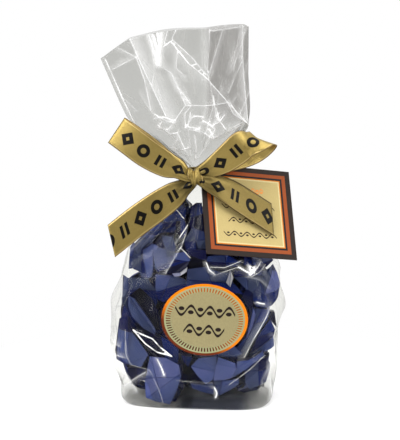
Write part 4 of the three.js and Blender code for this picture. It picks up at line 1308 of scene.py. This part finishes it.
ribbon = {
    "wide": 20,
    "thick": 0.3,
    "across": 14,
    "cup": 0.17,
    "ripple": (0.045, 2.6, 0.7),
    "slopeOver": 0.3,
    # stations give the centre, the way the width runs, and the width there; paintedShade is painted shade and
    # light: how much darker the satin's colour is painted at a share of the length, and lighter where it is
    # below 0
    "strips": {
        "leftLoop": {
            "steps": 110,
            "slant": 0,
            "first": 0.4,
            "flipped": False,
            "paintedShade": [(0, -0.08), (1, -0.08)],
            "stations": [
                (-2.5, -15.6, 157, 0.2, 0.1, 0.97, 7.5),
                (-7.4, -16.2, 158, 0.24, 0.05, 0.97, 9),
                (-13.2, -17.6, 162.2, 0.2, 0, 0.98, 13.6),
                (-20.6, -19.2, 165.4, 0.44, 0, 0.9, 17.4),
                (-33.1, -20, 172.9, 0.54, 0, 0.84, 19.6),
                (-44.4, -17.6, 181.1, 0.57, 0, 0.82, 20),
                (-52.6, -14, 186.7, 0.57, 0, 0.82, 20),
                (-53.9, -12.4, 187.5, 0.57, 0, 0.82, 20),
                (-52.6, -10.8, 186.7, 0.57, 0, 0.82, 20),
                (-44.4, -8.2, 181.1, 0.57, 0, 0.82, 19.6),
                (-30.1, -7.8, 171.4, 0.52, 0, 0.85, 18),
                (-17.6, -9.6, 163.4, 0.4, 0, 0.92, 13),
                (-8.4, -12.4, 158.4, 0.2, 0, 0.98, 9),
                (-3, -13.4, 157, 0.2, 0, 0.98, 7),
            ],
        },
        "rightLoop": {
            "steps": 120,
            "slant": 0,
            "first": 0.1,
            "flipped": True,
            "paintedShade": [(0, 0.4), (0.06, 0.3), (0.14, -0.15), (1, -0.15)],
            "stations": [
                (-0.4, -16.8, 158.8, -0.7, 0.1, 0.72, 8.4),
                (3.5, -17.4, 160.4, -0.7, 0, 0.72, 10.2),
                (9.9, -18.6, 163.4, -0.51, 0, 0.86, 13.8),
                (17.4, -20.5, 168.2, -0.64, 0, 0.77, 17.4),
                (24.8, -21.5, 174.1, -0.68, 0, 0.74, 19.4),
                (30.6, -20.5, 178.6, -0.77, 0, 0.64, 19.8),
                (36.1, -18, 179.8, -0.87, 0, 0.49, 16.8),
                (41.8, -13.8, 181, -0.96, 0, 0.28, 18.6),
                (43.8, -9.2, 180, -0.93, 0, 0.37, 20),
                (42.1, -5.4, 177, -0.91, 0, 0.41, 20),
                (37.8, -3.8, 173.7, -0.87, 0, 0.49, 19.6),
                (30.8, -5.4, 170, -0.81, 0, 0.59, 18),
                (22, -8.6, 166.5, -0.72, 0, 0.69, 14.6),
                (12.4, -12.4, 162.4, -0.7, 0, 0.71, 10.4),
                (4, -15, 159.2, -0.7, 0, 0.71, 7.4),
                (-0.4, -15.8, 158, -0.7, 0, 0.71, 6.6),
            ],
        },
        "leftTail": {
            "steps": 60,
            "slant": 4.6,
            "first": 0.7,
            "flipped": False,
            "paintedShade": [(0, 0.2), (0.06, 0.5), (0.15, 0.65), (0.26, 0.15), (0.36, -0.12), (1, -0.12)],
            "stations": [
                (-1.4, -14.8, 155, -0.95, 0, 0.3, 6.4),
                (-4.6, -15.2, 151.8, -0.9, 0, 0.42, 8),
                (-9.5, -16.6, 149, -0.78, 0.02, 0.63, 12.4),
                (-15.6, -19.5, 145, -0.68, 0.06, 0.73, 17),
                (-27.3, -23.2, 137.4, -0.6, 0.13, 0.79, 19.6),
                (-39.3, -25, 129.1, -0.57, 0.2, 0.79, 20),
                (-57.2, -25.6, 115, -0.56, 0.22, 0.8, 20),
            ],
        },
        "rightTail": {
            "steps": 60,
            "slant": 5.6,
            "first": 0.2,
            "flipped": True,
            "paintedShade": [(0, 0.2), (0.12, 0.4), (0.3, 0.42), (1, 0.42)],
            "stations": [
                (-0.6, -16.2, 156, 0.1, 0.05, 0.99, 6.6),
                (3.2, -18.6, 154.3, 0.2, 0.1, 0.97, 8),
                (8, -19.6, 152.6, 0.32, 0.26, 0.92, 11.6),
                (14.6, -19.5, 150.1, 0.4, 0.48, 0.78, 16),
                (22.5, -18.4, 145.9, 0.42, 0.58, 0.7, 19),
                (32.8, -17, 139.2, 0.43, 0.6, 0.67, 20),
                (50.4, -15, 127.5, 0.43, 0.6, 0.67, 20),
            ],
        },
    },
    "knot": {
        "middle": (-1.4, -17, 156.6),
        "wide": 10,
        "deep": 4.4,
        "high": 5.6,
        "steps": (30, 48),
        "around": 34,
        # how many folds, how deep, where they start and how far they slant
        "folds": [(1.6, 0.9, 0.9, 2.6), (4, 0.35, 0, 3.4)],
        "pinch": 0.16,
        "rounded": 0.5,
        "skew": 1.1,
    },
    "neck": {
        "z": 155.8,
        "high": 8,
        "radius": 8.1,
        "folds": 4,
        "foldDepth": 0.35,
        "steps": (12, 64),
        "around": 51,
    },
    "tie": {"x": 7.5, "z": 158.2, "radius": 1.6, "front": -18, "back": -3.5},
    "threads": (14, 130),
    "dark": (0.155, 0.104, 0.024),
    "pale": (0.38, 0.285, 0.088),
    # from the middle of the width: where it starts, how strong it is, and its colour
    "rib": (0.44, 0.4, (0.55, 0.42, 0.19)),
    "selvedge": (0.468, 0.75, (0.11, 0.06, 0.012)),
    "printEvery": 13.2,
    "ring": (3.2, 1.25),
    "lozenge": (3.4, 1.9),
    "bars": (2.0, 1.15),
    "barHigh": 3.9,
    "ink": (0.006, 0.005, 0.004),
    "weave": (0.3, 0.0003),
    "coat": {"Roughness": 0.34, "Metallic": 0.8},
}


def clothGrid(bm, steps, length, first=0):
    # a flat grid, its places across and along from 0 to 1, and its length in widths for the print
    uvLayer = bm.loops.layers.uv.verify()
    grid = bmesh.ops.create_grid(bm, x_segments=steps[0], y_segments=steps[1], size=1)["verts"]
    flat = {v: ((v.co.x + 1) / 2, (v.co.y + 1) / 2) for v in grid}
    for face in {f for v in grid for f in v.link_faces}:
        for corner in face.loops:
            u, t = flat[corner.vert]
            corner[uvLayer].uv = (u, t * length + first)
    return flat


def stripSurface(bm, plan):
    # a flat grid bent along the stations, its width cupped where it is drawn together
    stations = plan["stations"]
    run = [0]
    for a, b in zip(stations, stations[1:]):
        run.append(run[-1] + (Vector(a[0:3]) - Vector(b[0:3])).length)
    columns = [[(s, row[i]) for s, row in zip(run, stations)] for i in range(7)]
    flat = clothGrid(bm, (ribbon["across"], plan["steps"]), run[-1] / ribbon["wide"], plan["first"])
    paintedShadeLayer = bm.verts.layers.float["paintedShade"]
    ripple, waves, phase = ribbon["ripple"]
    for v, (u, t) in flat.items():
        side = 2 * u - 1
        s = t * run[-1]
        centre = Vector([along(c, s) for c in columns[0:3]])
        ahead = Vector([along(c, s + ribbon["slopeOver"]) for c in columns[0:3]])
        behind = Vector([along(c, s - ribbon["slopeOver"]) for c in columns[0:3]])
        tangent = (ahead - behind).normalized()
        across = Vector([along(c, s) for c in columns[3:6]])
        across = (across - tangent * across.dot(tangent)).normalized()
        wide = along(columns[6], s)
        out = tangent.cross(across)
        if out.y > 0:
            out = -out
        drawn = ribbon["wide"] - wide
        lift = ribbon["cup"] * drawn * (1 - side * side)
        lift += ripple * drawn * math.cos(waves * math.pi * side + phase)
        v.co = centre + across * side * wide / 2 + out * lift - tangent * side * plan["slant"] * t
        # painted shade and light at this share of the strip, kept on the points
        v[paintedShadeLayer] = along(plan["paintedShade"], t)
    if plan["flipped"]:
        bmesh.ops.reverse_faces(bm, faces=[f for f in bm.faces if f.verts[0] in flat])


def wrapSurface(bm, plan, high, pointAt):
    flat = clothGrid(bm, plan["steps"], plan["around"] / high)
    for v, (u, t) in flat.items():
        v.co = pointAt(u, 2 * math.pi * t)
    for face in {f for v in flat for f in v.link_faces}:
        face.material_index = 1
    bmesh.ops.remove_doubles(bm, verts=list(flat), dist=0.001)


def knotPoint(u, angle):
    knot = ribbon["knot"]
    s = math.sin(angle)
    fold = 0
    for count, depth, start, slant in knot["folds"]:
        fold += depth * math.cos(2 * math.pi * count * u + start - slant * s)
    bulge = math.sqrt(max(1 - (2 * u - 1) ** 4 * knot["rounded"], 0))
    x, y, z = knot["middle"]
    return Vector((
        x + (u - 0.5) * knot["wide"] * (1 - knot["pinch"] * s ** 2) - knot["skew"] * s,
        y - (knot["deep"] * bulge + fold) * math.cos(angle),
        z + (knot["high"] * bulge + fold) * s,
    ))


def neckPoint(u, angle):
    neck = ribbon["neck"]
    far = neck["radius"] + neck["foldDepth"] * math.cos(2 * math.pi * neck["folds"] * u + math.sin(2 * angle))
    return Vector((far * math.cos(angle), far * math.sin(angle), neck["z"] + (u - 0.5) * neck["high"]))


def makeRibbon():
    bm = bmesh.new()
    bm.verts.layers.float.new("paintedShade")
    bm.loops.layers.uv.verify()
    for plan in ribbon["strips"].values():
        stripSurface(bm, plan)
    wrapSurface(bm, ribbon["knot"], ribbon["knot"]["wide"], knotPoint)
    wrapSurface(bm, ribbon["neck"], ribbon["neck"]["high"], neckPoint)
    tie = ribbon["tie"]
    place = Matrix.Translation((tie["x"], (tie["front"] + tie["back"]) / 2, tie["z"]))
    bmesh.ops.create_cone(
        bm, segments=16, radius1=tie["radius"], radius2=tie["radius"], depth=tie["back"] - tie["front"],
        matrix=place @ Matrix.Rotation(math.pi / 2, 4, "X"), calc_uvs=True,
    )
    bmesh.ops.scale(bm, vec=(mm, mm, mm), verts=bm.verts)
    return bm


def within(tree, value, middle, half):
    # 1 where the value is nearer than half to the middle
    return calc(tree, "LESS_THAN", calc(tree, "ABSOLUTE", calc(tree, "SUBTRACT", value, middle)), half)


def farFrom(tree, x, y):
    return calc(tree, "SQRT", calc(tree, "ADD", calc(tree, "MULTIPLY", x, x), calc(tree, "MULTIPLY", y, y)))


def printShapes(tree, u, v):
    # rings, lozenges and pairs of bars, one after the other
    every = ribbon["printEvery"]
    cell = calc(tree, "MULTIPLY", v, ribbon["wide"] / every)
    x = calc(tree, "MULTIPLY", calc(tree, "SUBTRACT", calc(tree, "FRACT", cell), 0.5), every)
    y = calc(tree, "MULTIPLY", calc(tree, "SUBTRACT", u, 0.5), ribbon["wide"])
    asideX = calc(tree, "ABSOLUTE", x)
    asideY = calc(tree, "ABSOLUTE", y)
    ring = within(tree, farFrom(tree, x, y), *ribbon["ring"])
    lozenge = within(tree, calc(tree, "ADD", asideX, asideY), *ribbon["lozenge"])
    short = calc(tree, "LESS_THAN", asideY, ribbon["barHigh"])
    bars = calc(tree, "MULTIPLY", within(tree, asideX, *ribbon["bars"]), short)
    kind = calc(tree, "MODULO", calc(tree, "FLOOR", cell), 3)
    ink = 0
    for i, shape in enumerate((ring, lozenge, bars)):
        chosen = calc(tree, "COMPARE", kind, i, 0.1)
        ink = calc(tree, "ADD", calc(tree, "MULTIPLY", chosen, shape), ink)
    return ink


def makeSatin(name, printed):
    material, tree = newMaterial(name)
    uv = tree.nodes.new("ShaderNodeUVMap")
    u, v = splitParts(tree, uv.outputs[0])[:2]
    # fine threads across, with a shade that drifts along the ribbon
    stretched = tree.nodes.new("ShaderNodeCombineXYZ")
    for socket, value, scale in zip(stretched.inputs, (u, v), ribbon["threads"]):
        tree.links.new(calc(tree, "MULTIPLY", value, scale), socket)
    threads = noiseOn(tree, stretched.outputs[0], 1)
    cloth = blendColour(tree, threads, ribbon["dark"], ribbon["pale"])
    # the woven edges are darker, with a bright line inside them
    aside = calc(tree, "ABSOLUTE", calc(tree, "SUBTRACT", u, 0.5))
    for start, strength, colour in (ribbon["rib"], ribbon["selvedge"]):
        beyond = calc(tree, "GREATER_THAN", aside, start)
        cloth = blendColour(tree, calc(tree, "MULTIPLY", beyond, strength), cloth, colour)
    if printed:
        cloth = blendColour(tree, printShapes(tree, u, v), cloth, ribbon["ink"])
    # painted shade and light: the satin's colour is scaled darker or lighter along each strip
    cloth = scaleColour(tree, cloth, calc(tree, "SUBTRACT", 1, stored(tree, "paintedShade")))
    finishSurface(tree, coated(tree, cloth, bumped(tree, threads, *ribbon["weave"]), ribbon["coat"]))
    return material


bow = newPiece("bow", makeRibbon(), [makeSatin("satin", True), makeSatin("satinBack", False)])
cloth = bow.modifiers.new("cloth", "SOLIDIFY")
cloth.thickness = ribbon["thick"] * mm
cloth.offset = 0
cloth.material_offset = 1
cloth.material_offset_rim = 1
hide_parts("ribbon")
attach(bow, "root")
print("ribbon", len(bow.data.polygons))


tag = {
    "side": 64.7,
    "corner": (1.8, -7.5, 164.3),
    "roll": 9.2,
    "lean": -32,
    "turn": 23.7,
    # bands from the edge inwards: where each ends, and its colour
    "bands": [
        (3.6, (0.018, 0.011, 0.008)),
        (6.2, (0.26, 0.055, 0.011)),
        (7.6, (0.006, 0.008, 0.010)),
        (8.4, (0.50, 0.14, 0.006)),
        (9.3, (0.58, 0.49, 0.24)),
    ],
    "field": (0.44, 0.345, 0.14),
    "ink": (0.03, 0.016, 0.008),
    # each stem: how far down, half its length, its period and its height
    "vines": [(29, 19, 9, 1.6), (39, 15, 9, 1.6), (49, 19, 9, 1.6)],
    "ornament": [(17, 12, 6, 1.8)],
    "ornamentInk": (0.75, 0.22, 0.03),
    "ornamentShare": 0.8,
    "rough": 0.5,
    "grain": 1500,
}
paper = {"fibres": 4, "shade": (0.82, 1.12), "bump": (0.25, 0.0003), "specular": 0.15}


def bandColours(tree, distance, bands, inner):
    colour = inner
    for end, shade in reversed(bands):
        colour = blendColour(tree, calc(tree, "LESS_THAN", distance, end), colour, shade)
    return colour


def vine(tree, x, y, middle, half, period, height):
    # a waved stem with a leaf in each bend
    y = calc(tree, "SUBTRACT", y, middle)
    wave = calc(tree, "MULTIPLY", calc(tree, "SINE", calc(tree, "MULTIPLY", x, 2 * math.pi / period)), height)
    stem = within(tree, y, wave, height * 0.3)
    bend = calc(tree, "SUBTRACT", calc(tree, "FRACT", calc(tree, "MULTIPLY", x, 2 / period)), 0.5)
    leafX = calc(tree, "MULTIPLY", bend, period / 2)
    leafY = calc(tree, "ADD", y, calc(tree, "MULTIPLY", calc(tree, "SIGN", wave), height * 0.35))
    leafX = calc(tree, "DIVIDE", leafX, height * 0.6)
    leafY = calc(tree, "DIVIDE", leafY, height * 0.42)
    leaf = calc(tree, "LESS_THAN", farFrom(tree, leafX, leafY), 1)
    return calc(tree, "MULTIPLY", calc(tree, "MAXIMUM", stem, leaf), within(tree, x, 0, half))


def drawVines(tree, x, y, rows):
    ink = 0
    for row in rows:
        ink = calc(tree, "MAXIMUM", vine(tree, x, y, *row), ink)
    return ink


def localAxes(tree, place, origin, right, down):
    shift = tree.nodes.new("ShaderNodeVectorMath")
    shift.operation = "SUBTRACT"
    shift.inputs[1].default_value = Vector(origin) * mm
    tree.links.new(place, shift.inputs[0])
    found = []
    for axis in (right, down):
        dot = tree.nodes.new("ShaderNodeVectorMath")
        dot.operation = "DOT_PRODUCT"
        dot.inputs[1].default_value = axis
        tree.links.new(shift.outputs[0], dot.inputs[0])
        found.append(calc(tree, "DIVIDE", dot.outputs["Value"], mm))
    return found


def finishPaper(tree, colour, place, plan):
    fibre = noiseOn(tree, place, plan["grain"], paper["fibres"])
    colour = scaleColour(tree, colour, mapped(tree, fibre, 0, 1, *paper["shade"]))
    coat = {"Roughness": plan["rough"], "Specular IOR Level": paper["specular"]}
    finishSurface(tree, coated(tree, colour, bumped(tree, fibre, *paper["bump"]), coat))


def makeTagMaterial():
    material, tree = newMaterial("tagCard")
    turn = Matrix.Rotation(math.radians(tag["turn"]), 3, "Z")
    lean = Matrix.Rotation(math.radians(tag["lean"]), 3, "X")
    roll = Matrix.Rotation(math.radians(tag["roll"]), 3, "Y")
    turned = turn @ lean @ roll
    place = placeOn(tree)
    x, y = localAxes(tree, place, tag["corner"], turned @ Vector((1, 0, 0)), turned @ Vector((0, 0, -1)))
    side = tag["side"]
    fromEdge = side
    for value in (x, y):
        nearer = calc(tree, "MINIMUM", value, calc(tree, "SUBTRACT", side, value))
        fromEdge = calc(tree, "MINIMUM", nearer, fromEdge)
    x = calc(tree, "SUBTRACT", x, side / 2)
    field = blendColour(tree, drawVines(tree, x, y, tag["vines"]), tag["field"], tag["ink"])
    ornament = calc(tree, "MULTIPLY", drawVines(tree, x, y, tag["ornament"]), tag["ornamentShare"])
    field = blendColour(tree, ornament, field, tag["ornamentInk"])
    finishPaper(tree, bandColours(tree, fromEdge, tag["bands"], field), place, tag)
    return material


def makeLabelMaterial():
    material, tree = newMaterial("labelPaper")
    tilt = math.radians(label["tilt"])
    right = (math.cos(tilt), 0, math.sin(tilt))
    up = (-math.sin(tilt), 0, math.cos(tilt))
    place = placeOn(tree)
    x, y = localAxes(tree, place, (label["x"], 0, label["z"]), right, up)
    shareX = calc(tree, "DIVIDE", x, label["wide"] / 2)
    shareY = calc(tree, "DIVIDE", y, label["high"] / 2)
    inwards = calc(tree, "SUBTRACT", 1, farFrom(tree, shareX, shareY))
    fromEdge = calc(tree, "MULTIPLY", inwards, (label["wide"] + label["high"]) / 4)
    # painted light: the rim and its ticks are painted bright orange above and on the right, dark red brown
    # below
    slope, dark, bright = label["lit"]
    lit = mapped(tree, calc(tree, "ADD", calc(tree, "MULTIPLY", x, slope), y), dark, bright)
    rim = blendColour(tree, lit, *label["rim"])
    angle = calc(tree, "MULTIPLY", calc(tree, "ARCTAN2", shareY, shareX), label["ticks"])
    tick = calc(tree, "GREATER_THAN", calc(tree, "SINE", angle), 0)
    ticks = blendColour(tree, tick, label["pale"], blendColour(tree, lit, *label["tick"]))
    field = blendColour(tree, drawVines(tree, x, y, label["vines"]), label["field"], label["ink"])
    bands = list(zip(label["rings"], (rim, label["pale"], ticks, label["edge"])))
    finishPaper(tree, bandColours(tree, fromEdge, bands, field), place, label)
    return material


for name, material in (("tag", makeTagMaterial()), ("label", makeLabelMaterial())):
    node = bpy.data.objects[name]
    node.data.materials.clear()
    node.data.materials.append(material)
print("tag and label")


studio = {
    "aim": (0, 0, 0.12),
    "clearLayers": 32,
    # how bright the world is to the sides, above and at least, and where it turns pale behind the bag
    "sides": 0.75,
    "above": 0.5,
    "least": 0.09,
    "behind": (-0.4, 0.8),
    "floorSize": 4,
    "floorColour": (0.97, 0.97, 0.97),
    "floorRough": 0.9,
    "floorWhitens": (0.06, 0.2),
    "lights": [
        # name, place, wide, high, watts
        ("keyLight", (-0.95, -0.75, 1.15), 1.3, 1.3, 24),
        ("fillLight", (1.15, -0.8, 0.65), 0.8, 1.0, 8),
        ("topLight", (0.15, -0.1, 1.35), 1.3, 1.0, 11),
        ("leftStrip", (-0.75, -0.3, 0.3), 0.22, 0.8, 2),
        ("rightStrip", (0.7, -0.35, 0.28), 0.2, 0.8, 2),
    ],
}


def makeWorld():
    # pale behind the bag, dim on the camera's side, and white where the camera looks straight at it
    world = bpy.data.worlds.new("studio")
    world.use_nodes = True
    tree = world.node_tree
    x, y, z = splitParts(tree, placeOn(tree, "Generated"))
    sides = calc(tree, "MULTIPLY", calc(tree, "POWER", x, 2), studio["sides"])
    above = calc(tree, "MULTIPLY", calc(tree, "POWER", calc(tree, "MAXIMUM", z, 0), 2), studio["above"])
    front = calc(tree, "ADD", calc(tree, "ADD", sides, above), studio["least"])
    depth = mapped(tree, y, *studio["behind"], low=front, high=1, soft=True)
    path = tree.nodes.new("ShaderNodeLightPath")
    level = tree.nodes.new("ShaderNodeMix")
    tree.links.new(path.outputs["Is Camera Ray"], level.inputs[0])
    tree.links.new(depth, level.inputs[2])  # inputs 2 and 3 are the two levels
    level.inputs[3].default_value = 1
    tree.links.new(level.outputs[0], tree.nodes["Background"].inputs["Strength"])
    tree.nodes["Background"].inputs["Color"].default_value = (1, 1, 1, 1)
    return world


def makeFloorMaterial():
    # beyond the bag's own shadow the floor is as white as the backdrop
    material, tree = newMaterial("paleFloor")
    matte = tree.nodes.new("ShaderNodeBsdfPrincipled")
    plug(tree, matte.inputs["Base Color"], studio["floorColour"])
    plug(tree, matte.inputs["Roughness"], studio["floorRough"])
    far = tree.nodes.new("ShaderNodeVectorMath")
    far.operation = "LENGTH"
    tree.links.new(placeOn(tree), far.inputs[0])
    whitens = mapped(tree, far.outputs["Value"], *studio["floorWhitens"], soft=True)
    white = tree.nodes.new("ShaderNodeEmission")
    finishSurface(tree, mixShaders(tree, whitens, matte.outputs[0], white.outputs[0]))
    return material


def addLights():
    for name, place, wide, high, watts in studio["lights"]:
        data = bpy.data.lights.new(name, "AREA")
        data.shape = "RECTANGLE"
        data.size = wide
        data.size_y = high
        data.energy = watts
        light = bpy.data.objects.new(name, data)
        scene.collection.objects.link(light)
        light.location = place
        light.rotation_euler = (Vector(studio["aim"]) - Vector(place)).to_track_quat("-Z", "Y").to_euler()


scene.view_settings.view_transform = "Standard"
scene.cycles.transparent_max_bounces = studio["clearLayers"]
scene.world = makeWorld()
ground = bmesh.new()
bmesh.ops.create_grid(ground, x_segments=1, y_segments=1, size=studio["floorSize"])
floor = newPiece("floor", ground, [makeFloorMaterial()])
addLights()
print("studio")
